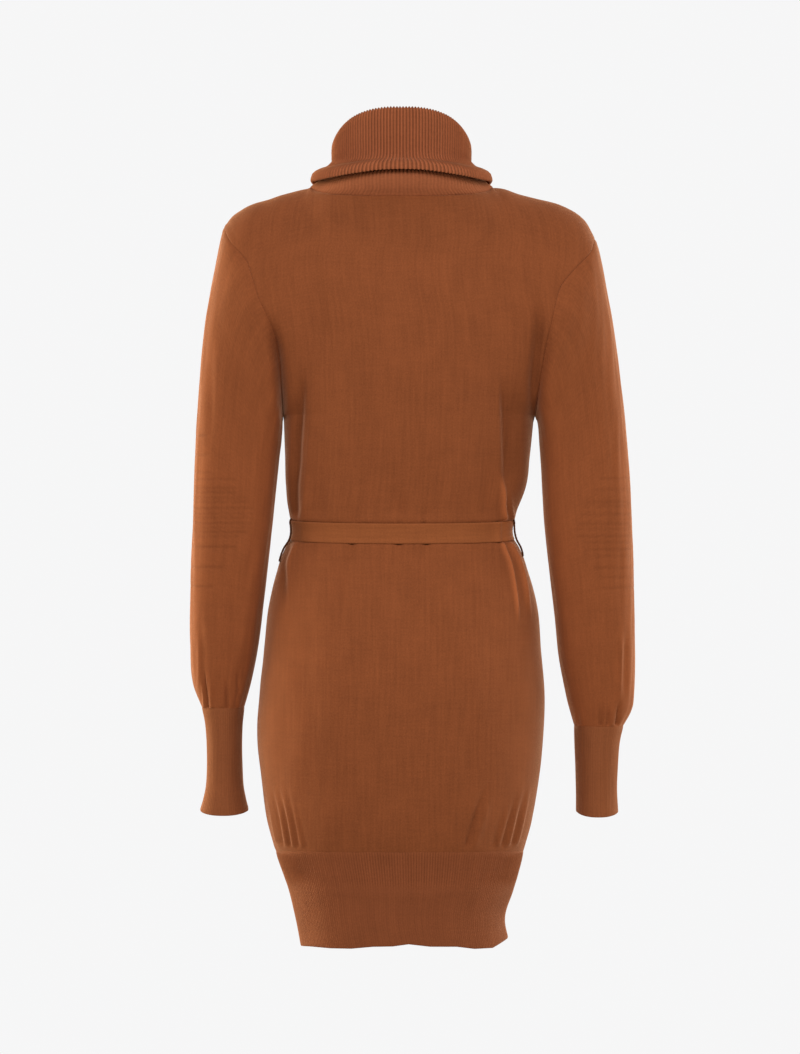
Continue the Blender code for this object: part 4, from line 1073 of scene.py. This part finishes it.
def add_bands():
    fine = np.linspace(-1, 1, 2001)
    middle = lower_surface(np.array([[(HEM + BAND_SEAM) / 2]]), fine[None], BACK)
    run = distances(middle, 1)[0][0]
    shares = np.interp(np.linspace(0, run[-1], 4 * BAND_RIBS + 1), run, fine)
    grids = {side: lower_surface(BAND_HEIGHTS[:, None], shares[None], side) for side in (BACK, FRONT)}
    made = {}
    for side, word in ((BACK, "back"), (FRONT, "front")):
        grid, other = grids[side], grids[-side]
        below, above = 2 * grid[0] - grid[1], 2 * grid[-1] - grid[-2]
        normals = sheet_normals(grid, other[:, 1], other[:, -2], below, above) * -side
        normals[:, [0, -1], 1] = 0
        normals = unit(normals)
        from_right, from_left = distances(grid, 1)
        from_bottom, from_top = distances(grid, 0)
        near_side = np.minimum(from_right, from_left)
        x, z = grid[..., 0], grid[..., 2]
        folds = fold_field(x, z, BAND_FOLDS[side]) + ripple(x + FRONT_START * (side == FRONT), z, 0.6)
        folds *= ease(near_side / SIDE_FADE) * settle(from_top)
        turns = np.arange(len(shares))[None] / 4 + 0.5
        ribs = rib_wave(turns) * ease(from_top / 6.0) * (0.3 + 0.4 * ease((BAND_FOLD - from_top) / 12))
        roll = rolled(from_top, 0.2) + rolled(from_bottom, 0.75) + rolled(near_side, 0.15)
        shift = np.zeros_like(grid)
        shift[:, [0, -1], 1] = side * -SEAM_LAP / 2
        shift[-1, :, 2] = SEAM_LAP / 2
        upper = ease((BAND_FOLD - from_top) / 8.0)
        marks = rib_shade(turns, 0.13) * (0.25 + 0.75 * upper * ease((95 - np.abs(x)) / 60))
        # painted highlight near the side seams; the band's lower part darker
        marks += BAND_SHARE_OF_HIGHLIGHT * PAINTED_SIDE_HIGHLIGHT * beside_seam(near_side) - LOWER_BAND_DARKENING * (1 - upper)
        made["hem_band_" + word] = add_wall(
            "hem_band_" + word, grid, normals, folds + ribs, np.minimum(roll, 0.8), RIB_WALL, 0.7, shift,
            turns * RIB_PITCH, from_bottom[:, [from_bottom.shape[1] // 2]], False, RIB_CLOTH, marks)
    return made


def armhole_line(hand, turns):
    """The armhole seam all round; turns run from the shoulder down the back and up the front."""
    back = turns <= np.pi
    down = np.where(back, turns, 2 * np.pi - turns)
    points = np.where(back[:, None], armhole_point(hand, BACK, down), armhole_point(hand, FRONT, down))
    normals = np.where(back[:, None], edge_normal(hand, BACK, down), edge_normal(hand, FRONT, down))
    return points, normals


def section(row, turns):
    """Rings between outer and inner points.

    row columns: outer x, outer z, inner x, inner z, half depth, middle y
    """
    deep, out = squared(turns, SLEEVE_ROUND)
    outer_x, outer_z, inner_x, inner_z, half_depth, middle_y = (row[..., k, None] for k in range(6))
    x = (outer_x + inner_x) / 2 + (outer_x - inner_x) / 2 * out
    z = (outer_z + inner_z) / 2 + (outer_z - inner_z) / 2 * out
    return points_of(x, middle_y + half_depth * deep, z)


SLEEVE_COLUMNS = 128
SLEEVE_GIRTH = 300.0
ELBOW = (-470, -268)  # between these heights the rows are close enough for purl rows
ELBOW_PACE, SLEEVE_PACE, CUFF_PACE, SEAM_PACE = 1.5, 3.9, 2.2, 1.8  # between rows
CUFF_ZONE, SEAM_ZONE = 30, 24  # how far those closer rows reach from the cuff and from the armhole
SLEEVE_EDGE_STEPS = (0.5, 1.3)
OUTER_SHARE, INNER_SHARE = 0.7, 0.3  # the rows are spaced along the outer line more than the inner


def nearest(rings, hand):
    """How far each point of a sleeve is from the armhole seam, and the seam's turn there."""
    turns = np.linspace(0, 2 * np.pi, 360, endpoint=False)
    line, _ = armhole_line(hand, turns)
    away, where = np.empty(rings.shape[:2]), np.empty(rings.shape[:2])
    for i, ring in enumerate(rings):
        gaps = np.linalg.norm(ring[:, None] - line[None], axis=-1)
        best = gaps.argmin(1)
        away[i], where[i] = gaps[np.arange(len(ring)), best], turns[best]
    return away, where


def closed_normals(rings, first=None, level_last=False):
    below, above = 2 * rings[0] - rings[1], 2 * rings[-1] - rings[-2]
    normals = sheet_normals(rings, rings[:, -1], rings[:, 0], below, above)
    if np.sum(normals * (rings - rings.mean(1, keepdims=True))) < 0:
        normals = -normals
    if first is not None:
        weight = bell(distances(rings, 0)[0], 0, NORMAL_REACH)[..., None]
        normals = unit(normals * (1 - weight) + first[None] * weight)
    if level_last:
        normals[-1, :, 2] = 0
    return unit(normals)


def add_sleeve(hand, word):
    turns = np.linspace(0, 2 * np.pi, SLEEVE_COLUMNS, endpoint=False)
    seam, seam_normals = armhole_line(hand, turns)
    tops, _ = armhole_line(hand, np.array([0.0, np.pi]))
    half_depth = (ARMHOLE_DEPTH[BACK] - ARMHOLE_DEPTH[FRONT]) / 2
    cap = (tops[0, 0], tops[0, 2], tops[1, 0], tops[1, 2], half_depth, 0)
    rows = np.array([cap] + SLEEVE[hand], float)
    keys = np.arange(len(rows), dtype=float)
    own_line = seam - section(rows[0], turns)
    fine = np.linspace(0, keys[-1], 1500)
    table = cubic(keys, rows, fine)
    outer_run, inner_run = (distances(table[:, k:k + 2], 0)[0] for k in (0, 2))
    run = OUTER_SHARE * outer_run + INNER_SHARE * inner_run
    heights = (table[:, 1] + table[:, 3]) / 2
    pace = np.where((heights < ELBOW[1]) & (heights > ELBOW[0]), ELBOW_PACE, SLEEVE_PACE)
    pace = np.where(heights < heights[-1] + CUFF_ZONE, CUFF_PACE, pace)
    pace = np.where(run < SEAM_ZONE, SEAM_PACE, pace)
    clock = np.concatenate([[0], np.cumsum(np.diff(run) / pace[1:])])
    at = np.interp(np.linspace(0, clock[-1], int(clock[-1]) + 1), clock, fine)
    near_ends = [place for d in SLEEVE_EDGE_STEPS for place in (d, run[-1] - d)]
    at = np.sort(np.concatenate([at, np.interp(near_ends, run, fine)]))
    rings = section(cubic(keys, rows, at), turns[None])
    rings = rings + own_line[None] * (np.clip(1 - at / CAP_BLEND, 0, 1) ** 1.5)[:, None, None]
    normals = closed_normals(rings, seam_normals, True)
    down_cloth, from_cuff = distances(rings, 0)
    from_seam, seam_turn = nearest(rings, hand)
    x, y, z = rings[..., 0], rings[..., 1], rings[..., 2]
    side_fade = ease(np.abs(np.sin(turns)) * 2.2)[None]
    back_folds, front_folds = (fold_field(x, z, SLEEVE_FOLDS[hand, side]) for side in (BACK, FRONT))
    folds = np.where((np.sin(turns) >= 0)[None], back_folds, front_folds)
    folds = folds * side_fade + ripple(x + 3 * y, z, 0.8) * 0.8
    ladder = np.zeros(x.shape)
    for height, end, depth in LADDER[hand]:
        ladder -= depth * ease((x - end) * hand / LADDER_FADE) * bell(z, height, LADDER_HALF_WIDTH)
    ladder *= ease((np.sin(turns) + LADDER_TURN) / (2 * LADDER_TURN))[None]
    folds += ladder * (0.3 + 0.7 * side_fade)
    inward = np.clip(-np.cos(turns), 0, 1)[None]
    folds = np.where(folds > 0, folds * (1 - 0.8 * inward), folds)
    folds *= settle(from_seam)
    swell = SLEEVE_SWELL * bell(from_seam, SWELL_AT, SWELL_WIDTH)
    roll = np.minimum(rolled(from_seam, 0.4) + rolled(from_cuff, 0.25), 0.7)
    shift = np.zeros_like(rings)
    low, high = ARMHOLE[hand]
    seam_z = (low + high) / 2 + (high - low) / 2 * np.cos(seam_turn)
    shift[..., 1] -= np.sign(np.sin(seam_turn)) * crevice(from_seam, seam_z, seam_turn, hand)
    shift[0, :, 0] = hand * -SEAM_LAP / 2
    shift[-1, :, 2] = -SEAM_LAP / 2
    outward = np.cos(turns)[None]
    # painted shade in the purl rows, painted light on the inner line and the lower sleeve, painted highlight
    # along the outer line, painted shade across the shoulders
    marks = PAINTED_LADDER_SHADE * ladder + PAINTED_INNER_LIGHT * ease((-outward - 0.1) / 0.8)
    marks = marks + PAINTED_LOWER_LIGHT * ease((LOWER_LIGHT_FROM - z) / LOWER_LIGHT_FADE)
    marks += PAINTED_OUTER_HIGHLIGHT * ease((outward - 0.55) / 0.3) * ease((from_seam - 20) / 80)
    marks -= PAINTED_SHOULDER_SHADE * on_shoulder(z)
    return add_wall(
        "sleeve_" + word, rings, normals, folds + swell, roll, WALL, 0.6, shift,
        np.linspace(0, SLEEVE_GIRTH, SLEEVE_COLUMNS + 1), down_cloth.mean(1)[:, None], True, KNIT_CLOTH, marks)


CUFF_RIBS = 68


def rib_places(count):
    """The knit's own measure round a tube of ribs, four columns to a rib."""
    return np.arange(4 * count + 1) / 4 * RIB_PITCH


def add_cuff(hand, word):
    turns = np.linspace(0, 2 * np.pi, 4 * CUFF_RIBS, endpoint=False)
    rows = np.array([(o, z, i, z, half, y) for o, i, z, half, y in CUFF[hand]], float)
    keys = np.arange(len(rows), dtype=float)
    fine = np.linspace(0, keys[-1], 400)
    run = -(cubic(keys, rows, fine)[:, 1] - rows[0, 1])
    at = np.interp(steps(0.0, run[-1], 3.8, (1.0, 1.0)), run, fine)
    table = cubic(keys, rows, at)
    rings = section(table, turns[None])
    last = (np.clip(at - (keys[-1] - 1), 0, 1) ** 2)[:, None]
    depth = (rings[..., 1] - table[:, 5:6]) / table[:, 4:5]
    rings[..., 2] -= CUFF_SLANT * last * depth * np.abs(depth)
    normals = closed_normals(rings)
    from_seam, from_edge = distances(rings, 0)
    ribs = rib_wave(turns / (2 * np.pi) * CUFF_RIBS)[None] * ease(from_seam / 5.0) * 0.3
    soft = ripple(rings[..., 0] + 2 * rings[..., 1], rings[..., 2], 0.5)
    roll = np.minimum(rolled(from_seam, 0.25) + rolled(from_edge, 0.4), 0.8)
    shift = np.zeros_like(rings)
    shift[0, :, 2] = SEAM_LAP / 2
    return add_wall(
        "cuff_" + word, rings, normals, ribs + soft, roll, RIB_WALL, 0.7, shift,
        rib_places(CUFF_RIBS), -from_seam.mean(1)[:, None], True, CUFF_CLOTH)


COLLAR_RIBS = 135
COLLAR_RIB_DEPTH = (0.5, 1.1)  # below the free edge, and what is added above it
COLLAR_RIB_SHADE = 0.44
BEND_STEPS = (-2.4, -1.2, 1.2, 2.4)  # closer rows over the fold
LINKING_SHADE = 0.25  # the looser row of stitches that joins the collar at the back


def add_collar():
    angles = np.linspace(0, 2 * np.pi, 4 * COLLAR_RIBS, endpoint=False)
    degrees = np.abs(np.degrees(np.arctan2(np.sin(angles), np.cos(angles))))
    seam = neck_point(angles)
    fold, edge = smooth(COLLAR_LINES, degrees, 1), smooth(COLLAR_LINES, degrees, 2)
    lean = FREE_EDGE_FRONT_LEAN * np.maximum(0.0, -np.cos(angles))

    def ring(size, z, extra=0.0):
        deep = (NECK_TUBE[1] * size + extra) * np.cos(angles)
        return points_of(NECK_TUBE[0] * size * np.sin(angles), deep + RIDGE_Y, z)

    rings = [seam]
    back, front = np.clip(np.cos(angles), 0, 1) ** 2, np.clip(-np.cos(angles), 0, 1) ** 2
    for share, at_back, at_side, at_front in COLLAR_RISE:
        size = back * at_back + np.sin(angles) ** 2 * at_side + front * at_front
        rings.append(ring(size, seam[:, 2] + (fold - seam[:, 2]) * share))
    rings += [ring(size, fold + above) for size, above in COLLAR_FOLD]
    rings += [ring(size, fold + (edge - fold) * share, lean * share * share) for size, share in COLLAR_FALL]
    taller = 1 + FLARE_AT_SIDES * np.sin(angles) ** 2
    rings += [ring(size, edge + above * (taller if above > 0 else 1), lean) for size, above in FREE_EDGE]
    rings = np.array(rings)
    hops = np.linalg.norm(np.diff(rings, axis=0), axis=-1).mean(1)
    keys = np.concatenate([[0], np.cumsum(hops)])
    places = steps(0.0, keys[-1], 3.4, (1.0, 1.0))
    bend = keys[2 + len(COLLAR_RISE)]
    places = np.sort(np.concatenate([places, bend + np.array(BEND_STEPS)]))
    rings = cubic(keys, rings, places)
    below, above = 2 * rings[0] - rings[1], 2 * rings[-1] - rings[-2]
    normals = sheet_normals(rings, rings[:, -1], rings[:, 0], below, above)
    seam_normals = neck_normal(angles)
    if np.sum(normals[0] * seam_normals) < 0:
        normals = -normals
    from_seam, from_edge = distances(rings, 0)
    weight = bell(from_seam, 0, COLLAR_NORMAL_REACH)[..., None]
    normals = unit(normals * (1 - weight) + seam_normals[None] * weight)
    turns = angles / (2 * np.pi) * COLLAR_RIBS
    above_stand = ease((from_seam - COLLAR_STAND) / 6.0)
    ribs = (COLLAR_RIB_DEPTH[0] + COLLAR_RIB_DEPTH[1] * above_stand) * rib_wave(turns)[None]
    drawn = 0.35 + 0.65 * ease((np.abs(np.cos(angles)) - 0.35) / 0.45)[None]
    marks = rib_shade(turns, COLLAR_RIB_SHADE)[None] * (0.2 + 0.8 * above_stand) * drawn
    roll = np.minimum(rolled(from_seam, 0.6) + rolled(from_edge, 0.8), 0.85)
    shift = np.zeros_like(rings)
    shift[0, :, 2] = -SEAM_LAP / 2
    chain = bell(from_seam, 1.3, 0.9) * back[None] * (np.abs(rings[..., 0]) < 60)
    return add_wall(
        "collar", rings, normals, ribs, roll, RIB_WALL, 1.0, shift,
        rib_places(COLLAR_RIBS), places[:, None], True, COLLAR_CLOTH, marks + LINKING_SHADE * chain)


def waist_ring(height, shares):
    """The body's own line at a height, all round from the wearer's right along the back."""
    back = lower_surface(np.array([[height]]), shares[None], BACK)[0]
    front = lower_surface(np.array([[height]]), shares[None], FRONT)[0]
    return np.concatenate([back[:-1], front[::-1][:-1]])


# Painted shade by the left loop, painted highlight at the right end.
# columns: place along the back, half width, change of shade
SASH_PAINTED_SHADE_AND_HIGHLIGHT = [(113.0, 11.0, -0.22), (-119.0, 9.0, 0.30)]
SASH_WAVES = [(0.3, 74, 0.3), (0.2, 41, 1.7)]  # height, length along, start
# Creases across the sash. columns: x at the back, height, half width
SASH_CREASES = [
    (-108, 2.2, 3.0), (-100, -0.3, 3.0), (-20, -0.5, 4.0), (1, -0.5, 4.0), (54, -0.5, 4.0), (110, 0.8, 4.0),
]


def add_sash():
    shares = np.linspace(-1, 1, 181)
    heights = steps(SASH_ROWS[0] - 1.0, SASH_ROWS[1] + 1.0, 2.3, (0.8, 0.8))
    within = np.clip(heights, *SASH_ROWS)
    rings = np.array([waist_ring(h, shares) + [0, 0, beyond] for h, beyond in zip(within, heights - within)])
    below, above = rings[0] - [0, 0, 1], rings[-1] + [0, 0, 1]
    normals = sheet_normals(rings, rings[:, -1], rings[:, 0], below, above)
    normals[..., 2] = 0
    if np.sum(normals * (rings - rings.mean(1, keepdims=True))) < 0:
        normals = -normals
    normals = unit(normals)
    along = np.concatenate([[0], np.cumsum(np.linalg.norm(np.diff(rings[0], axis=0), axis=-1))])
    total = along[-1] + np.linalg.norm(rings[0, 0] - rings[0, -1])
    lift = np.zeros(rings.shape[:2])
    for height, length, start in SASH_WAVES:
        count = max(1, round(total / length))
        lift += 0.5 * height * (1 + np.sin(2 * np.pi * count * along / total + start))[None]
    at_back = (rings[..., 1] > 0) * 1.0
    for place, height, width in SASH_CREASES:
        lift += height * bell(rings[..., 0], place, width) * at_back
    lift = np.maximum(lift, -0.3)
    from_low, from_high = distances(rings, 0)
    rim = 0.35 * bell(from_high, 1.9, 1.1) + 0.25 * bell(from_low, 1.9, 1.1)
    roll = np.minimum(rolled(from_low, 0.7, 1.5) + rolled(from_high, 0.7, 1.5), 0.75)
    inner = rings + normals * (SASH_CLEAR + 0.5 * lift + roll)[..., None]
    outer = rings + normals * (SASH_CLEAR + SASH_WALL + lift + rim - roll)[..., None]
    marks = np.zeros(rings.shape[:2])
    # painted shade at the sash's left end, painted highlight at its right end
    for place, width, change in SASH_PAINTED_SHADE_AND_HIGHLIGHT:
        marks += change * bell(rings[..., 0], place, width) * at_back
    across, round_waist = from_low.mean(1)[:, None], np.concatenate([along, [total]])
    sash = add_shell("belt", outer, inner, across, round_waist, True, SASH_CLOTH, marks)
    return sash, -abs(rings[0, :, 1].min())


KNOT_POWER, KNOT_SECTION = 3.2, 2.6  # how square the knot is from the front and from above
LAP_PITCH, CREASE_PITCH = 8.5, 6.0


def add_knot(front):
    """Two laps of the sash drawn tight over one another."""
    gap = SASH_CLEAR + SASH_WALL + SEAM_GAP
    half = [size / 2 for size in KNOT_SIZE]
    around = np.linspace(0, 2 * np.pi, 96, endpoint=False)
    levels = np.sin(np.linspace(-np.pi / 2 * 0.985, np.pi / 2 * 0.985, 60))
    rings = []
    for level in levels:
        swell = (1 - abs(level) ** KNOT_POWER) ** (1 / KNOT_POWER)
        out, across = squared(around, KNOT_SECTION)
        rings.append(points_of(half[0] * swell * across, -half[1] * swell * out, half[2] * level))
    rings = np.array(rings)
    normals = closed_normals(rings)
    x, z = rings[..., 0], rings[..., 2]
    slant = x * 0.5 + z
    wrap = 0.9 * np.cos(2 * np.pi * slant / LAP_PITCH) + 1.3 * ease((8 - np.abs(slant - 1)) / 5)
    wrap += 0.35 * np.sin(2 * np.pi * (x - 0.4 * z) / CREASE_PITCH)
    facing = np.clip(-normals[..., 1], 0, 1)
    rings = rings + normals * (wrap * facing - 0.8)[..., None]
    rings[..., 1] += front - gap - half[1]
    rings[..., 2] += SASH_MIDDLE
    return add_lump("belt_knot", rings, SASH_CLOTH)


def add_tail(hand, word, front):
    path = np.array(TAIL_PATH[hand], float)
    keys = -(path[:, 1] - path[0, 1])
    places = steps(0.0, keys[-1], 3.0, (0.0, 1.0))
    line = cubic(keys, path, places)
    skirt = lower_surface(line[:, 1], 0.0, FRONT)[:, 1]
    y = np.minimum(skirt - TAIL_CLEAR, front - SASH_CLEAR - SASH_WALL - TAIL_BEHIND_KNOT)
    y = y - (TAIL_STEP if hand == RIGHT else 0)
    shares = np.array(sorted(set(np.round(list(np.linspace(-1, 1, 19)) + [-0.97, 0.97, -0.92, 0.92], 4))))
    down = places[:, None]
    pinch = 1 - 0.38 * bell(down, 0, 26.0)
    half = TAIL_WIDTH / 2 * pinch
    x = line[:, :1] + half * shares[None]
    wave = 0.5 * np.sin(2 * np.pi * down / 63 + hand) * shares[None] - 0.5
    pleat = -1.8 * bell(down, 0, 30.0) * np.cos(shares[None] * 2.2 * np.pi)
    flat = points_of(x, y[:, None] + wave * 0.6 + pleat * 0.35, line[:, 1:2] + 0.6 * shares[None])
    from_side = (1 - np.abs(shares))[None] * TAIL_WIDTH / 2 + 0 * down
    from_end = keys[-1] - down + 0 * shares[None]
    roll = np.minimum(rolled(from_side, 0.7, 1.4) + rolled(from_end, 0.7, 1.4), 0.75)
    hem = 0.35 * bell(from_end, 9.0, 1.2)
    inner, outer = flat.copy(), flat.copy()
    inner[..., 1] -= roll
    outer[..., 1] -= SASH_WALL - roll - hem
    return add_shell("belt_tail_" + word, outer, inner, shares * TAIL_WIDTH / 2, down, False, SASH_CLOTH)


LOOP_RINGS = 90
LOOP_ASIDE = 0.02  # to either side of the loop's place, to find the way across


def add_loop(hand, word):
    """A thread loop, worked round with blanket stitch, that stands off the dress and holds the sash."""
    heights = np.linspace(-340, -440, 60)
    aside = hand * LOOP_SHARE + np.array([[-LOOP_ASIDE, 0, LOOP_ASIDE]])
    line = lower_surface(heights[:, None], aside, BACK)
    tangent = line[:, 2] - line[:, 0]
    outward = unit(np.stack([-tangent[:, 1], tangent[:, 0], 0 * tangent[:, 0]], -1))
    outward *= np.sign(outward[:, 1:2])
    path = np.array(LOOP_PATH[hand], float)
    at = np.linspace(path[0, 0], path[-1, 0], LOOP_RINGS)
    clear = smooth([(-h, c) for h, c in path], -at, 1)
    order = np.argsort(line[:, 1, 2])

    def along(values):
        return np.stack([np.interp(at, line[order, 1, 2], values[order, k]) for k in range(3)], -1)

    out = unit(along(outward))
    centre = along(line[:, 1]) + out * (clear + LOOP_THICK / 2)[:, None]
    centre[[0, -1]] -= 2.2 * out[[0, -1]]
    centre[[1, -2]] -= 1.2 * out[[1, -2]]
    way = unit(np.gradient(centre, axis=0))
    wide = unit(np.cross(way, out))
    thick = unit(np.cross(wide, way))
    around = np.linspace(0, 2 * np.pi, 12, endpoint=False)
    twist = 0.92 + 0.08 * np.cos(around[None] * 2 - np.arange(LOOP_RINGS)[:, None] * 0.9)
    ends = np.ones(LOOP_RINGS)
    ends[[0, -1]], ends[[1, -2]] = 0.25, 0.8
    reach = twist * ends[:, None]
    rings = (
        centre[:, None]
        + wide[:, None] * (LOOP_WIDE / 2 * reach * np.cos(around)[None])[..., None]
        + thick[:, None] * (LOOP_THICK / 2 * reach * np.sin(around)[None])[..., None]
    )
    return add_lump("belt_loop_" + word, rings, THREAD)


pieces = {**add_panels(), **add_bands()}
for arm, arm_word in ((LEFT, "left"), (RIGHT, "right")):
    pieces["sleeve_" + arm_word] = add_sleeve(arm, arm_word)
    pieces["cuff_" + arm_word] = add_cuff(arm, arm_word)
    pieces["belt_loop_" + arm_word] = add_loop(arm, arm_word)
pieces["collar"] = add_collar()
pieces["belt"], waist_front = add_sash()
pieces["belt_knot"] = add_knot(waist_front)
for arm, arm_word in ((LEFT, "left"), (RIGHT, "right")):
    pieces["belt_tail_" + arm_word] = add_tail(arm, arm_word, waist_front)

for node, piece in pieces.items():
    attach(piece, "root")
    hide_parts(node)

# ---- camera, light and ground ----
scene = bpy.context.scene
scene.view_settings.view_transform = "Standard"
camera = bpy.data.cameras.new("camera")
camera.sensor_width = SENSOR
camera.lens = SENSOR * CAMERA[1] / CAMERA_REACH
camera_object = bpy.data.objects.new("camera", camera)
camera_object.location = [c * MM for c in CAMERA]
camera_object.rotation_euler = (math.pi / 2, 0, math.pi)
scene.collection.objects.link(camera_object)
scene.camera = camera_object

world = bpy.data.worlds.new("studio")
world.use_nodes = True
world.node_tree.nodes["Background"].inputs["Color"].default_value = (BACKDROP, BACKDROP, BACKDROP * 1.003, 1)
world.node_tree.nodes["Background"].inputs["Strength"].default_value = 1.0
scene.world = world


def add_light(name, place, target, size, power, colour):
    light = bpy.data.lights.new(name, "AREA")
    light.color = colour
    light.shape = "RECTANGLE"
    light.size, light.size_y = size
    light.energy = power
    lamp = bpy.data.objects.new(name, light)
    lamp.location = place
    aim = np.array(target) - np.array(place)
    tilt = math.acos(-aim[2] / np.linalg.norm(aim))
    lamp.rotation_euler = (tilt, 0, math.atan2(aim[1], aim[0]) - math.pi / 2)
    scene.collection.objects.link(lamp)


WAIST = (0, 0, -0.4)
WARM = (1.0, 0.84, 0.56)
add_light("left_side", (2.0, -0.8, -0.2), WAIST, (1.0, 2.0), 90.0, (0.94, 1.0, 0.82))
add_light("right_side", (-2.0, -0.8, -0.2), WAIST, (1.0, 2.0), 54.0, (0.84, 1.0, 1.05))
add_light("left_back", (1.0, -1.9, -0.5), WAIST, (0.7, 2.0), 12.0, WARM)
add_light("right_back", (-1.0, -1.9, -0.5), WAIST, (0.7, 2.0), 14.0, WARM)
add_light("top_key", (0.0, 3.3, 2.2), (0, 0, -0.5), (2.0, 2.0), 102.0, (0.92, 1.0, 1.28))

floor_mesh = bpy.data.meshes.new("floor")
edge = FLOOR_HALF * MM
floor_mesh.from_pydata(
    [(x * edge, y * edge, FLOOR_HEIGHT * MM) for x, y in ((-1, -1), (1, -1), (1, 1), (-1, 1))],
    [], [(0, 1, 2, 3)],
)
ground = plain_material("floor", (0.0, 0.0, 0.0), 0.9)
glow = ground.node_tree.nodes["Principled BSDF"]
glow.inputs["Specular IOR Level"].default_value = 0.0
glow.inputs["Emission Color"].default_value = (BACKDROP, BACKDROP, BACKDROP, 1)
glow.inputs["Emission Strength"].default_value = 1.0
floor_mesh.materials.append(ground)
floor = bpy.data.objects.new("floor", floor_mesh)
scene.collection.objects.link(floor)
